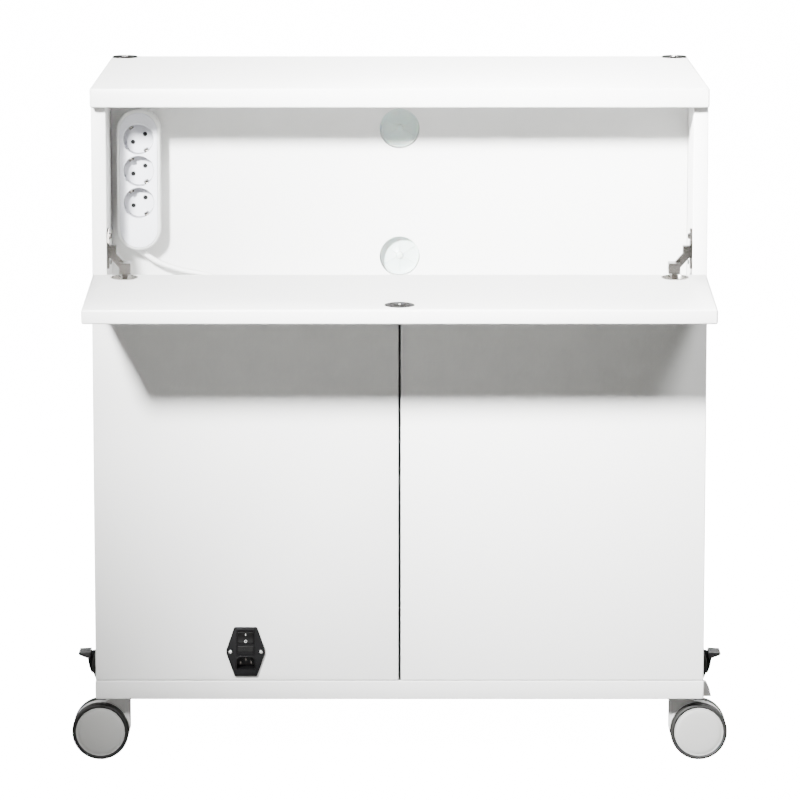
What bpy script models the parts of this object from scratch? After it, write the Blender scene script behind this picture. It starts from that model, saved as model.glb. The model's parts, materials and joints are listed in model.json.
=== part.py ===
"""Mobile media cabinet: a white cabinet on four twin-wheel castors, with a drop-down flap in front of a
shallow socket compartment, a pair of doors without handles below it, and a mains inlet in the left door.

Lengths are in millimetres. x runs to the right from the middle, y back from the fronts of the doors, and z up
from the floor. One empty turns these cabinet coordinates into the frame, whose origin is on the floor under
the middle of the bounding box.
"""

import math

import bmesh
import bpy
from mathutils import Matrix, Vector

MM = 0.001

# Driving dimensions
WIDTH = 800.0
DEPTH = 500.0
HEIGHT = 890.0
CASTOR_HEIGHT = 85.0
BOARD = 25.0  # top and bottom boards
PANEL = 19.0  # sides, doors, flap and compartment floor
BACK = 16.0  # rear panel and the compartment's back wall
TOUCH = 0.3  # between pieces that rest on each other
FRONT_GAP = 2.5  # between the closed fronts and the carcass
CENTRE_GAP = 3.0  # between the doors
FRONT_INSET = 0.5  # of a front's end inside the cabinet's side
SOFT_EDGE = 1.2
HINGE_EDGE = 3.0  # rounding of a front along its hinges

UNDER_TOP = HEIGHT - BOARD
BASE = CASTOR_HEIGHT + BOARD
INNER = WIDTH / 2 - PANEL  # a side panel's inner face
FRONT_END = WIDTH / 2 - FRONT_INSET
CARCASS_FRONT = PANEL + FRONT_GAP

COMPARTMENT_HEIGHT = 243.0
COMPARTMENT_BACK = 140.0  # front of its back wall
COMPARTMENT_FLOOR = UNDER_TOP - COMPARTMENT_HEIGHT
SHELF_HEIGHT = 350.0
SHELF_FRONT = 85.0
SHELF_REAR = 480.0

DOOR_LOW, DOOR_HIGH = BASE + 2, COMPARTMENT_FLOOR - PANEL - 2
FLAP_LOW, FLAP_HIGH = 628.5, UNDER_TOP - 3
FLAP_OPEN = math.radians(93.6)

# Concealed hinge, measured on the front that it carries: "from the edge" runs along the front from its hinged
# edge, and "deep" runs from its outer face to its inner one.
PIVOT_FROM_EDGE = 8.0
PIVOT_DEEP = 10.0
CUP_FROM_EDGE = 21.5
CUP_RADIUS = 17.5
CUP_DEPTH = 12.5
CUP_WALL = 1.0
CUP_FLANGE_RADIUS = 18.0
PIN_RADIUS = 0.95
KNUCKLE_RADIUS = 2.0
NECK_HALF = 3.5
ARM_HALF = 7.5
FLAP_HINGE_X = 357.0
DOOR_HINGE_HEIGHTS = {"lower": DOOR_LOW + 100, "upper": DOOR_HIGH - 100}

PORT_HEIGHTS = {"lower": 654.5, "upper": 824.3}
PORT_RADIUS = 26.5
CORNER_FITTING_X = 381.0
CORNER_FITTING_Y = 480.0
LOCK_FROM_EDGE = 32.0
LOCK_RADIUS = 19.2

STRIP_X = -343.0
STRIP_LOW, STRIP_HIGH = 666.7, 852.4
STRIP_HALF_WIDTH = 28.6
STRIP_THICK = 40.0
SOCKETS_BELOW_TOP = (38.5, 80.5, 122.5)
SOCKET_RADIUS = 19.5
SOCKET_DEPTH = 17.5
SOCKET_TILT = math.radians(33.5)
SOCKET_PIN_SPACING = 19.0

INLET_X, INLET_Z = -202.0, 149.5
INLET_HALF_WIDTH, INLET_HALF_HEIGHT = 14.0, 29.0
INLET_DEPTH = 36.0
INLET_FLANGE = 4.0
INLET_SCREW_X = 20.0
ROCKER_ABOVE = 19.5
ROCKER_TILT = math.radians(8)
DRAWER_ABOVE = 3.5
C14_BELOW = 14.5
C14_DEPTH = 16.0

WHEEL_RADIUS = 37.5
WHEEL_INSIDE, WHEEL_OUTSIDE = 8.5, 26.0
HOOD_HALF = 8.0
HOOD_TOP = 81.0
TRAIL = 27.0  # from a castor's stem to its axle
CASTOR_X, CASTOR_FRONT_Y, CASTOR_REAR_Y = 368.0, 40.0, 460.0
STEM_RADIUS = 5.0
STEM_FOOT = 52.5
WASHER_RADIUS = 13.0
AXLE_RADIUS = 4.0
PEDAL_PIVOT = (50.0, 52.0)  # outwards from the stem, and up
PEDAL_REACH = 87.0
PEDAL_PIN_RADIUS = 2.0

CORD_RADIUS = 3.5
CABLE_HOLE = (-228.0, 116.0, 20.0)  # x, y and radius
# The lead's route by hand: from the strip's gland through the compartment floor to the left door's hinges,
# and from there down the inner face of the door to the inlet.
LEAD_FIXED_ROUTE = (
    (-337, 121, 658), (-337, 121, 651), (-328, 121, 642.5), (-308, 121, 637), (-285, 120.5, 634),
    (-263, 120, 632), (-247, 119, 627.5), (-235, 118, 612), (-231, 117, 592), (-236, 114, 568),
    (-256, 107, 540), (-292, 95, 513), (-330, 79, 485), (-356, 64, 458), (-366, 53, 430),
)
LEAD_DOOR_ROUTE = (
    (-366, 52.4, 428.5), (-366, 42, 402), (-358, 33, 376), (-340, 28.5, 350), (-312, 27.5, 322),
    (-280, 27.5, 294), (-248, 27.5, 264), (-221, 27.5, 230), (-206, 27.5, 204), (-202, 27.5, 190),
    (-202, 27.5, INLET_Z + INLET_HALF_HEIGHT + TOUCH),
)


# ---------------------------------------------------------------- scene and materials


def clear_scene():
    for existing in list(bpy.data.objects):
        bpy.data.objects.remove(existing, do_unlink=True)


def new_collection(name, hidden=False):
    collection = bpy.data.collections.new(name)
    bpy.context.scene.collection.children.link(collection)
    collection.hide_render = hidden
    return collection


def new_material(name, color, roughness, metallic=0.0):
    material = bpy.data.materials.new(name)
    material.use_nodes = True
    shader = material.node_tree.nodes["Principled BSDF"]
    shader.inputs["Base Color"].default_value = (*color, 1)
    shader.inputs["Roughness"].default_value = roughness
    shader.inputs["Metallic"].default_value = metallic
    material.diffuse_color = (*color, 1)
    return material


clear_scene()
PARTS = new_collection("mobile_media_cabinet")
CUTTERS = new_collection("cutters", hidden=True)
WHITE_BOARD = new_material("white_board", (0.86, 0.86, 0.85), 0.4)
WHITE_PLASTIC = new_material("white_plastic", (0.85, 0.86, 0.84), 0.3)
BLACK_PLASTIC = new_material("black_plastic", (0.02, 0.02, 0.022), 0.35)
GREY_PLASTIC = new_material("grey_plastic", (0.62, 0.63, 0.62), 0.4)
DARK_TYRE = new_material("dark_tyre", (0.06, 0.06, 0.06), 0.6)
NICKEL = new_material("nickel", (0.6, 0.58, 0.55), 0.3, metallic=1.0)


# ---------------------------------------------------------------- shapes, in a piece's own coordinates


def cleaned(mesh):
    """Welds a mesh's loose caps and points its faces outwards."""
    shape = bmesh.new()
    shape.from_mesh(mesh)
    bmesh.ops.remove_doubles(shape, verts=shape.verts, dist=1e-6)
    bmesh.ops.recalc_face_normals(shape, faces=shape.faces)
    shape.to_mesh(mesh)
    shape.free()
    return mesh


def baked(helper):
    """The mesh that a helper object's curve or modifiers make. The helper is then removed."""
    bpy.context.scene.collection.objects.link(helper)
    graph = bpy.context.evaluated_depsgraph_get()
    mesh = bpy.data.meshes.new_from_object(helper.evaluated_get(graph))
    bpy.data.objects.remove(helper)
    return cleaned(mesh)


def block(low, high):
    low, high = Vector(low), Vector(high)
    shape = bmesh.new()
    bmesh.ops.create_cube(shape, size=1)
    bmesh.ops.scale(shape, vec=(high - low) * MM, verts=shape.verts)
    bmesh.ops.translate(shape, vec=(low + high) / 2 * MM, verts=shape.verts)
    mesh = bpy.data.meshes.new("block")
    shape.to_mesh(mesh)
    shape.free()
    return mesh


AXIS_TURNS = {
    "X": Matrix.Rotation(math.pi / 2, 4, "Y"),
    "Y": Matrix.Rotation(-math.pi / 2, 4, "X"),
    "Z": Matrix.Identity(4),
}


def rod(axis, centre, low, high, radius, sides=24):
    """A cylinder along an axis, from low to high on it. The centre's value on that axis is not used."""
    middle = Vector(centre)
    middle["XYZ".index(axis)] = (low + high) / 2
    place = Matrix.Translation(middle * MM) @ AXIS_TURNS[axis]
    shape = bmesh.new()
    bmesh.ops.create_cone(shape, cap_ends=True, segments=sides, radius1=radius * MM, radius2=radius * MM,
                          depth=(high - low) * MM, matrix=place)
    mesh = bpy.data.meshes.new("rod")
    shape.to_mesh(mesh)
    shape.free()
    return cleaned(mesh)


def turned(axis, centre, profile, steps=20):
    """A turned shape: the profile lists (radius, place on the axis) and starts and ends on the axis."""
    mesh = bpy.data.meshes.new("profile")
    shape = bmesh.new()
    points = [shape.verts.new((radius * MM, 0, along * MM)) for radius, along in profile]
    for first, second in zip(points, points[1:]):
        shape.edges.new((first, second))
    shape.to_mesh(mesh)
    shape.free()
    helper = bpy.data.objects.new("turned", mesh)
    screw = helper.modifiers.new("turn", "SCREW")
    screw.steps = screw.render_steps = steps
    screw.use_merge_vertices = True
    screw.merge_threshold = 1e-5
    mesh = baked(helper)
    mesh.transform(Matrix.Translation(Vector(centre) * MM) @ AXIS_TURNS[axis])
    return cleaned(mesh)


# An outline is drawn flat, and these turn it so that its first axis, its second and its thickness lie along
# the two letters' axes and the third one.
OUTLINE_TURNS = {
    "XY": Matrix.Identity(4),
    "XZ": Matrix.Rotation(math.pi / 2, 4, "X"),
    "YZ": Matrix(((0, 0, 1, 0), (1, 0, 0, 0), (0, 1, 0, 0), (0, 0, 0, 1))),
}


def extruded(plane, outline, low, high):
    """A flat outline in a plane, extruded from low to high along the third axis."""
    curve = bpy.data.curves.new("outline", "CURVE")
    curve.dimensions = "2D"
    curve.fill_mode = "BOTH"
    curve.extrude = (high - low) / 2 * MM
    line = curve.splines.new("POLY")
    line.points.add(len(outline) - 1)
    for point, (u, v) in zip(line.points, outline):
        point.co = (u * MM, v * MM, 0, 1)
    line.use_cyclic_u = True
    mesh = baked(bpy.data.objects.new("outline", curve))
    middle = (low + high) / 2 * MM * (-1 if plane == "XZ" else 1)
    mesh.transform(OUTLINE_TURNS[plane] @ Matrix.Translation((0, 0, middle)))
    return cleaned(mesh)


def arc(centre, radius, start, end, steps=6):
    """Points on an arc. The angles are in degrees."""
    angles = [math.radians(start + (end - start) * i / steps) for i in range(steps + 1)]
    return [(centre[0] + radius * math.cos(a), centre[1] + radius * math.sin(a)) for a in angles]


def stadium(half_width, low, high, steps=8):
    """An upright outline with round ends."""
    return (arc((0, high - half_width), half_width, 0, 180, steps)
            + arc((0, low + half_width), half_width, 180, 360, steps))


def piece(name, material, base, joined=(), cut=(), joined_last=(), at=(0, 0, 0), turn=(0, 0, 0), edge=0.0,
          smooth=False):
    """One node: a mesh, with others joined to it, cut from it and joined after the cuts by Booleans, all in
    the piece's own coordinates, and the edges of the first one rounded by the given width."""

    def placed(label, mesh, collection):
        thing = bpy.data.objects.new(label, mesh)
        thing.location = Vector(at) * MM
        thing.rotation_euler = turn
        thing.parent = CABINET
        collection.objects.link(thing)
        return thing

    if smooth:
        base.shade_smooth()
        base.set_sharp_from_angle(angle=math.radians(35))
    node = placed(name, base, PARTS)
    base.materials.clear()
    base.materials.append(material)
    if edge:
        bevel = node.modifiers.new("edges", "BEVEL")
        bevel.width = edge * MM
        bevel.segments = 1
        bevel.limit_method = "ANGLE"
        bevel.angle_limit = math.radians(60)
    for label, operation, meshes in (
        ("joined", "UNION", joined), ("cut", "DIFFERENCE", cut), ("joined_last", "UNION", joined_last),
    ):
        for number, mesh in enumerate(meshes):
            helper = placed(f"{name}_{label}_{number}", mesh, CUTTERS)
            helper.hide_render = True
            helper.display_type = "WIRE"
            boolean = node.modifiers.new(label, "BOOLEAN")
            boolean.operation = operation
            boolean.object = helper


# ---------------------------------------------------------------- the frame

# How far the open flap's free edge reaches in front of the doors
FLAP_FROM_PIVOT = FLAP_HIGH - FLAP_LOW - PIVOT_FROM_EDGE
FLAP_REACH = (FLAP_FROM_PIVOT * math.sin(FLAP_OPEN) - (PANEL - PIVOT_DEEP) * math.cos(FLAP_OPEN) - PIVOT_DEEP)
CABINET = bpy.data.objects.new("cabinet_origin", None)
CABINET.location = (0, (FLAP_REACH - DEPTH) / 2 * MM, 0)
CUTTERS.objects.link(CABINET)


# ---------------------------------------------------------------- carcass


def add_carcass():
    half = WIDTH / 2
    fittings = [
        rod("Z", (side * CORNER_FITTING_X, CORNER_FITTING_Y, 0), HEIGHT - 13, HEIGHT + 5, 12.3, 20)
        for side in (-1, 1)
    ]
    stems = [
        rod("Z", (side * CASTOR_X, y, 0), CASTOR_HEIGHT - 5, CASTOR_HEIGHT + 20, STEM_RADIUS + 0.3, 16)
        for side in (-1, 1) for y in (CASTOR_FRONT_Y, CASTOR_REAR_Y)
    ]
    piece("top_board", WHITE_BOARD, block((-half, 0, UNDER_TOP), (half, DEPTH, HEIGHT)), cut=fittings,
          edge=SOFT_EDGE)
    piece("bottom_board", WHITE_BOARD, block((-half, 0, CASTOR_HEIGHT), (half, DEPTH, BASE)), cut=stems,
          edge=SOFT_EDGE)
    low, high = BASE + TOUCH, UNDER_TOP - TOUCH
    for name, side in (("left", -1), ("right", 1)):
        inner, outer = sorted((side * INNER, side * half))
        panel = block((inner, CARCASS_FRONT, low), (outer, DEPTH, high))
        piece(f"side_panel_{name}", WHITE_BOARD, panel, edge=0.8)
    inside = INNER - TOUCH
    piece("rear_panel", WHITE_BOARD, block((-inside, DEPTH - BACK, low), (inside, DEPTH, high)))
    hole_x, hole_y, hole_radius = CABLE_HOLE
    cable_hole = rod("Z", (hole_x, hole_y, 0), COMPARTMENT_FLOOR - PANEL - 5, COMPARTMENT_FLOOR + 5,
                     hole_radius)
    # Its front fills the space between the doors and the flap, and passes in front of both side panels.
    floor_front = block((-FRONT_END, 0, COMPARTMENT_FLOOR - PANEL),
                        (FRONT_END, CARCASS_FRONT - TOUCH, COMPARTMENT_FLOOR))
    floor_rear = block((-inside, CARCASS_FRONT - 4, COMPARTMENT_FLOOR - PANEL + 0.01),
                       (inside, COMPARTMENT_BACK + BACK, COMPARTMENT_FLOOR - 0.01))
    piece("compartment_floor", WHITE_BOARD, floor_front, joined=[floor_rear], cut=[cable_hole],
          edge=SOFT_EDGE)
    ports = [
        rod("Y", (0, 0, height), COMPARTMENT_BACK - 5, COMPARTMENT_BACK + BACK + 5, PORT_RADIUS, 20)
        for height in PORT_HEIGHTS.values()
    ]
    wall = block((-inside, COMPARTMENT_BACK, COMPARTMENT_FLOOR + TOUCH),
                 (inside, COMPARTMENT_BACK + BACK, high))
    piece("compartment_back_wall", WHITE_BOARD, wall, cut=ports)
    shelf = block((-inside, SHELF_FRONT, SHELF_HEIGHT), (inside, SHELF_REAR, SHELF_HEIGHT + PANEL))
    piece("shelf", WHITE_BOARD, shelf)


def add_port_caps():
    """A cap pushed into each cable port from behind, with a nub in its middle."""
    behind = COMPARTMENT_BACK + BACK + TOUCH
    profile = [(0, -6), (4, -5), (4.5, -2.5), (PORT_RADIUS - 1.2, -2.5), (PORT_RADIUS - 0.4, -1.5),
               (PORT_RADIUS - 0.4, 0), (PORT_RADIUS + 4.5, 0), (PORT_RADIUS + 4.5, 2), (0, 2)]
    for name, height in PORT_HEIGHTS.items():
        cap = turned("Y", (0, 0, 0), profile)
        piece(f"port_cap_{name}", WHITE_PLASTIC, cap, at=(0, behind, height), smooth=True)


def add_corner_fittings():
    """Round metal fittings in the top's far corners: a dish with a stud, for the foot of an attachment."""
    profile = [(0, 3), (4.2, 3), (5, 2.2), (5, -2.2), (13.5, -2.2), (15, 1), (17, 1), (17.6, TOUCH),
               (12, TOUCH), (12, -12), (0, -12)]
    for name, side in (("left", -1), ("right", 1)):
        place = (side * CORNER_FITTING_X, CORNER_FITTING_Y, HEIGHT)
        piece(f"corner_fitting_{name}", NICKEL, turned("Z", (0, 0, 0), profile), at=place, smooth=True)


# ---------------------------------------------------------------- hinges

# Each is drawn about its pivot: x along the pin, y towards the inner face of its front, z away from the
# front's hinged edge.
CUP_Z = CUP_FROM_EDGE - PIVOT_FROM_EDGE
FRONT_INNER_Y = PANEL - PIVOT_DEEP
CUP_FLOOR_Y = FRONT_INNER_Y - CUP_DEPTH + TOUCH


def cup_recess():
    return rod("Y", (0, 0, CUP_Z), FRONT_INNER_Y - CUP_DEPTH, FRONT_INNER_Y + 5, CUP_RADIUS, 20)


def add_cup(name, at, turn):
    """A hinge cup with its flange on the front's inner face, and the hinge pin across it."""
    flange_y = FRONT_INNER_Y + 0.2
    inner = CUP_RADIUS - TOUCH - CUP_WALL
    profile = [(0, CUP_FLOOR_Y + 0.9), (inner, CUP_FLOOR_Y + 0.9), (inner, flange_y + 0.7),
               (CUP_FLANGE_RADIUS, flange_y + 0.7), (CUP_FLANGE_RADIUS, flange_y),
               (CUP_RADIUS - TOUCH, flange_y), (CUP_RADIUS - TOUCH, CUP_FLOOR_Y), (0, CUP_FLOOR_Y)]
    cup = turned("Y", (0, 0, CUP_Z), profile)
    pin = rod("X", (0, 0, 0), -9.3, 9.3, PIN_RADIUS, 10)
    piece(name, NICKEL, cup, joined=[pin], at=at, turn=turn, smooth=True)


def knuckle_and_neck(neck_high):
    """The round eye on the pin and the flat neck that rises from it out of the cup."""
    eye = rod("X", (0, 0, 0), -NECK_HALF, NECK_HALF, KNUCKLE_RADIUS, 16)
    neck = block((-NECK_HALF + 0.3, -KNUCKLE_RADIUS + 0.15, 0), (NECK_HALF - 0.3, 1.2, neck_high))
    bore = rod("X", (0, 0, 0), -NECK_HALF - 2, NECK_HALF + 2, PIN_RADIUS + 0.15, 12)
    return eye, neck, bore


def add_flap_arm(name, side, at):
    """The flap's fixed arm: out of the cup, then outwards to a plate on the side panel."""
    arm_low, arm_high, arm_rear = 11.0, 25.0, 22.0
    strut_half, strut_deep_half, strut_long, strut_lean = 5.0, 4.5, 26.0, math.radians(42)
    knee_thick, plate_thick, screw_height = 12.0, 2.7, 4.5
    plate_outline = [(13, 16), (28, 16), (31, 20), (31, 50), (26, 68), (18, 68), (13, 50)]
    wall = side * (INNER - TOUCH - FLAP_HINGE_X)

    def inwards(near, far):
        """The places this far in from the side panel, in order along x."""
        return sorted((wall - side * near, wall - side * far))

    eye, neck, bore = knuckle_and_neck(arm_low + 2)
    head = block((-ARM_HALF, -KNUCKLE_RADIUS, arm_low), (ARM_HALF, arm_rear, arm_high))
    strut = block((-strut_half, -strut_deep_half, 0), (strut_half, strut_deep_half, strut_long))
    strut_foot = Matrix.Translation(Vector((side, 16.5, 17)) * MM)
    strut.transform(strut_foot @ Matrix.Rotation(side * strut_lean, 4, "Y"))
    knee_x = inwards(1, knee_thick)
    knee = block((knee_x[0], 12, 30.5), (knee_x[1], 26, 46))
    plate = extruded("YZ", plate_outline, *inwards(0, plate_thick))
    screw = rod("X", (0, 22, 58), *inwards(1.5, screw_height), 4, 12)
    piece(name, NICKEL, head, joined=[neck, eye, strut, knee, plate, screw], cut=[bore], at=at)


def add_door_arm(name, at, turn):
    """A door's fixed arm: out of the cup, then back to a plate on the side panel."""
    arm_low, arm_high, arm_rear = 11.2, 25.0, 62.0
    plate_half, plate_front, plate_rear, plate_thick = 24.0, 30.0, 58.0, 3.5
    wall = PANEL + TOUCH - FRONT_INSET - PIVOT_FROM_EDGE
    eye, neck, bore = knuckle_and_neck(arm_low + 2)
    head = block((-ARM_HALF, -KNUCKLE_RADIUS, arm_low), (ARM_HALF, arm_rear, arm_high))
    plate = block((-plate_half, plate_front, wall), (plate_half, plate_rear, wall + plate_thick))
    piece(name, NICKEL, head, joined=[neck, eye, plate], cut=[bore], at=at, turn=turn)


# ---------------------------------------------------------------- flap and lock


def front_outline():
    """The hinged edge in a front's section, about its pivot: its two corners are well rounded."""
    outer, inner = -PIVOT_DEEP, PANEL - PIVOT_DEEP
    low = -PIVOT_FROM_EDGE
    return (arc((outer + HINGE_EDGE, low + HINGE_EDGE), HINGE_EDGE, 180, 270, 3)
            + arc((inner - HINGE_EDGE, low + HINGE_EDGE), HINGE_EDGE, 270, 360, 3))


def add_flap():
    pivot = (0, PIVOT_DEEP, FLAP_LOW + PIVOT_FROM_EDGE)
    turn = (FLAP_OPEN, 0, 0)
    outline = front_outline() + [(FRONT_INNER_Y, FLAP_FROM_PIVOT), (-PIVOT_DEEP, FLAP_FROM_PIVOT)]
    panel = extruded("YZ", outline, -FRONT_END, FRONT_END)
    lock_z = FLAP_FROM_PIVOT - LOCK_FROM_EDGE
    cuts = [
        rod("Y", (0, 0, lock_z), -PIVOT_DEEP - 5, FRONT_INNER_Y + 5, 11.3, 20),
        rod("Y", (0, 0, lock_z), FRONT_INNER_Y - 3, FRONT_INNER_Y + 5, LOCK_RADIUS + 0.3, 20),
    ]
    for side in (-1, 1):
        recess = cup_recess()
        recess.transform(Matrix.Translation((side * FLAP_HINGE_X * MM, 0, 0)))
        cuts.append(recess)
    piece("flap_panel", WHITE_BOARD, panel, cut=cuts, at=pivot, turn=turn, edge=SOFT_EDGE)
    for name, side in (("left", -1), ("right", 1)):
        hinge = (side * FLAP_HINGE_X, pivot[1], pivot[2])
        add_cup(f"flap_hinge_cup_{name}", hinge, turn)
        add_flap_arm(f"flap_hinge_arm_{name}", side, hinge)
    add_lock(pivot, turn, lock_z)


def add_lock(pivot, turn, lock_z):
    """The lock's case, let into the flap, and its round rotor, both drawn about the lock's axis."""
    place = Vector(pivot) + Matrix.Rotation(turn[0], 3, "X") @ Vector((0, 0, lock_z))
    face = FRONT_INNER_Y
    case = turned("Y", (0, 0, 0), [(0, face - 6), (8.3, face - 6), (8.3, face + 0.4), (18.6, face + 0.4),
                                  (LOCK_RADIUS, face - 0.2), (LOCK_RADIUS, face - 2.7), (11, face - 2.7),
                                  (11, -PIVOT_DEEP - 0.6), (0, -PIVOT_DEEP - 0.6)])
    keyway = block((-0.8, -PIVOT_DEEP - 3, -4), (0.8, -PIVOT_DEEP + 5, 4))
    piece("lock_case", NICKEL, case, cut=[keyway], at=place, turn=turn, smooth=True)
    rotor = turned("Y", (0, 0, 0), [(0, face - 5.6), (8, face - 5.6), (8, face + 0.6), (7.4, face + 1.2),
                                   (0, face + 1.2)][::-1])
    slot = block((-1.2, face - 1, -10), (1.2, face + 3, 10))
    piece("lock_rotor", NICKEL, rotor, cut=[slot], at=place, turn=turn, smooth=True)


# ---------------------------------------------------------------- doors


def add_doors():
    for name, side in (("left", -1), ("right", 1)):
        pivot = Vector((side * (FRONT_END - PIVOT_FROM_EDGE), PIVOT_DEEP, 0))
        hinge_turn = (0, -side * math.pi / 2, 0)
        reach = FRONT_END - CENTRE_GAP / 2 - PIVOT_FROM_EDGE
        outline = front_outline() + [(FRONT_INNER_Y, reach), (-PIVOT_DEEP, reach)]
        panel = extruded("YZ", outline, *sorted((side * DOOR_LOW, side * DOOR_HIGH)))
        cuts = []
        for height in DOOR_HINGE_HEIGHTS.values():
            recess = cup_recess()
            recess.transform(Matrix.Translation((side * height * MM, 0, 0)))
            cuts.append(recess)
        if side < 0:
            cuts.append(inlet_opening(pivot))
        piece(f"door_{name}", WHITE_BOARD, panel, cut=cuts, at=pivot, turn=hinge_turn, edge=SOFT_EDGE)
        for level, height in DOOR_HINGE_HEIGHTS.items():
            place = pivot + Vector((0, 0, height))
            add_cup(f"door_hinge_cup_{name}_{level}", place, hinge_turn)
            add_door_arm(f"door_hinge_arm_{name}_{level}", place, hinge_turn)
        add_touch_latch(name, side)


def inlet_opening(pivot):
    """The cut-out for the inlet, in the left door's own coordinates."""
    half_width, half_height = INLET_HALF_WIDTH + TOUCH, INLET_HALF_HEIGHT + TOUCH
    across = INLET_X - pivot.x
    return block((-INLET_Z - half_height, -PIVOT_DEEP - 5, across - half_width),
                 (-INLET_Z + half_height, FRONT_INNER_Y + 5, across + half_width))


def add_touch_latch(name, side):
    """A press-to-open latch under the compartment floor: its plunger rests just behind the closed door."""
    ceiling = COMPARTMENT_FLOOR - PANEL - TOUCH
    centre = (side * 20, PANEL + 0.6, ceiling - 8)
    housing = block((-8, 3.4, -8), (8, 60, 8))
    bore = rod("Y", (0, 0, 0), 0, 36, 4.4, 16)
    piece(f"touch_latch_{name}", WHITE_PLASTIC, housing, cut=[bore], at=centre, edge=1.0)
    plunger = turned("Y", (0, 0, 0), [(0, 32), (4, 32), (4, 0.8), (3.2, 0), (0, 0)], 16)
    piece(f"latch_plunger_{name}", GREY_PLASTIC, plunger, at=centre, smooth=True)


# ---------------------------------------------------------------- socket strip and lead


def add_strip():
    """A three-way socket strip screwed to the compartment's back wall: a tub, and a cover with the sockets."""
    rear = COMPARTMENT_BACK - TOUCH
    front = COMPARTMENT_BACK - STRIP_THICK
    at = (STRIP_X, 0, 0)
    wall, floor, rim = 3.5, 3.0, 5.0
    tub = extruded("XZ", stadium(STRIP_HALF_WIDTH, STRIP_LOW, STRIP_HIGH), front, rear)
    hollow = extruded("XZ", stadium(STRIP_HALF_WIDTH - wall, STRIP_LOW + wall, STRIP_HIGH - wall), front - rim,
                      rear - floor)
    gland_x, gland_y, lead_top = LEAD_FIXED_ROUTE[0]
    gland_tip = lead_top + 2 * TOUCH
    gland = turned("Z", (gland_x - STRIP_X, gland_y, 0), [
        (0, STRIP_LOW + 5), (6, STRIP_LOW + 5), (6, STRIP_LOW - 3), (4.6, gland_tip), (0, gland_tip),
    ], 16)
    piece("strip_base", WHITE_PLASTIC, tub, joined=[gland], cut=[hollow], at=at, smooth=True)

    inset = wall + TOUCH
    plate_front, plate_rear = front + 0.8, front + 4
    plate = extruded("XZ", stadium(STRIP_HALF_WIDTH - inset, STRIP_LOW + inset, STRIP_HIGH - inset),
                     plate_front, plate_rear)
    socket_floor = plate_front + SOCKET_DEPTH
    wells, cuts, clips = [], [], []
    for drop in SOCKETS_BELOW_TOP:
        centre = (0, 0, STRIP_HIGH - drop)
        wells.append(rod("Y", centre, front + 2, socket_floor + 2.7, SOCKET_RADIUS + 1.4, 24))
        cuts.append(rod("Y", centre, front - 5, socket_floor, SOCKET_RADIUS, 24))
        along = Vector((math.cos(SOCKET_TILT), 0, math.sin(SOCKET_TILT)))
        for way in (-1, 1):
            pin = Vector(centre) + along * (way * SOCKET_PIN_SPACING / 2)
            cuts.append(rod("Y", pin, front + 10, front + 30, 2.5, 10))
            clips.append(earth_clip(centre, way, front + 3, socket_floor + 1.7))
    piece("strip_cover", WHITE_PLASTIC, plate, joined=wells, cut=cuts, joined_last=clips, at=at)


def earth_clip(centre, way, low, high):
    """A clip along the socket's wall, above or below the pins as the socket's tilt places them."""
    clip = block((-2.2, low, SOCKET_RADIUS - 2.2), (2.2, high, SOCKET_RADIUS + 0.8))
    angle = -SOCKET_TILT + (math.pi if way < 0 else 0)
    clip.transform(Matrix.Translation(Vector(centre) * MM) @ Matrix.Rotation(angle, 4, "Y"))
    return clip


def smooth_route(points, spacing=18.0):
    """Points about a spacing apart on the Catmull-Rom curve through the route's own points."""
    knots = [Vector(p) for p in points]
    knots = [2 * knots[0] - knots[1]] + knots + [2 * knots[-1] - knots[-2]]
    route = [knots[1]]
    for before, start, end, after in zip(knots, knots[1:], knots[2:], knots[3:]):
        steps = max(1, round((end - start).length / spacing))
        for i in range(1, steps + 1):
            t = i / steps
            route.append(0.5 * (2 * start + (end - before) * t
                                + (2 * before - 5 * start + 4 * end - after) * t**2
                                + (3 * start - before - 3 * end + after) * t**3))
    return route


def add_lead(name, points):
    curve = bpy.data.curves.new(name, "CURVE")
    curve.dimensions = "3D"
    curve.bevel_depth = CORD_RADIUS * MM
    curve.bevel_resolution = 2
    curve.use_fill_caps = True
    curve.materials.append(WHITE_PLASTIC)
    route = smooth_route(points)
    line = curve.splines.new("POLY")
    line.points.add(len(route) - 1)
    for point, place in zip(line.points, route):
        point.co = (*(place * MM), 1)
    lead = bpy.data.objects.new(name, curve)
    lead.parent = CABINET
    PARTS.objects.link(lead)


# ---------------------------------------------------------------- mains inlet in the left door


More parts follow.
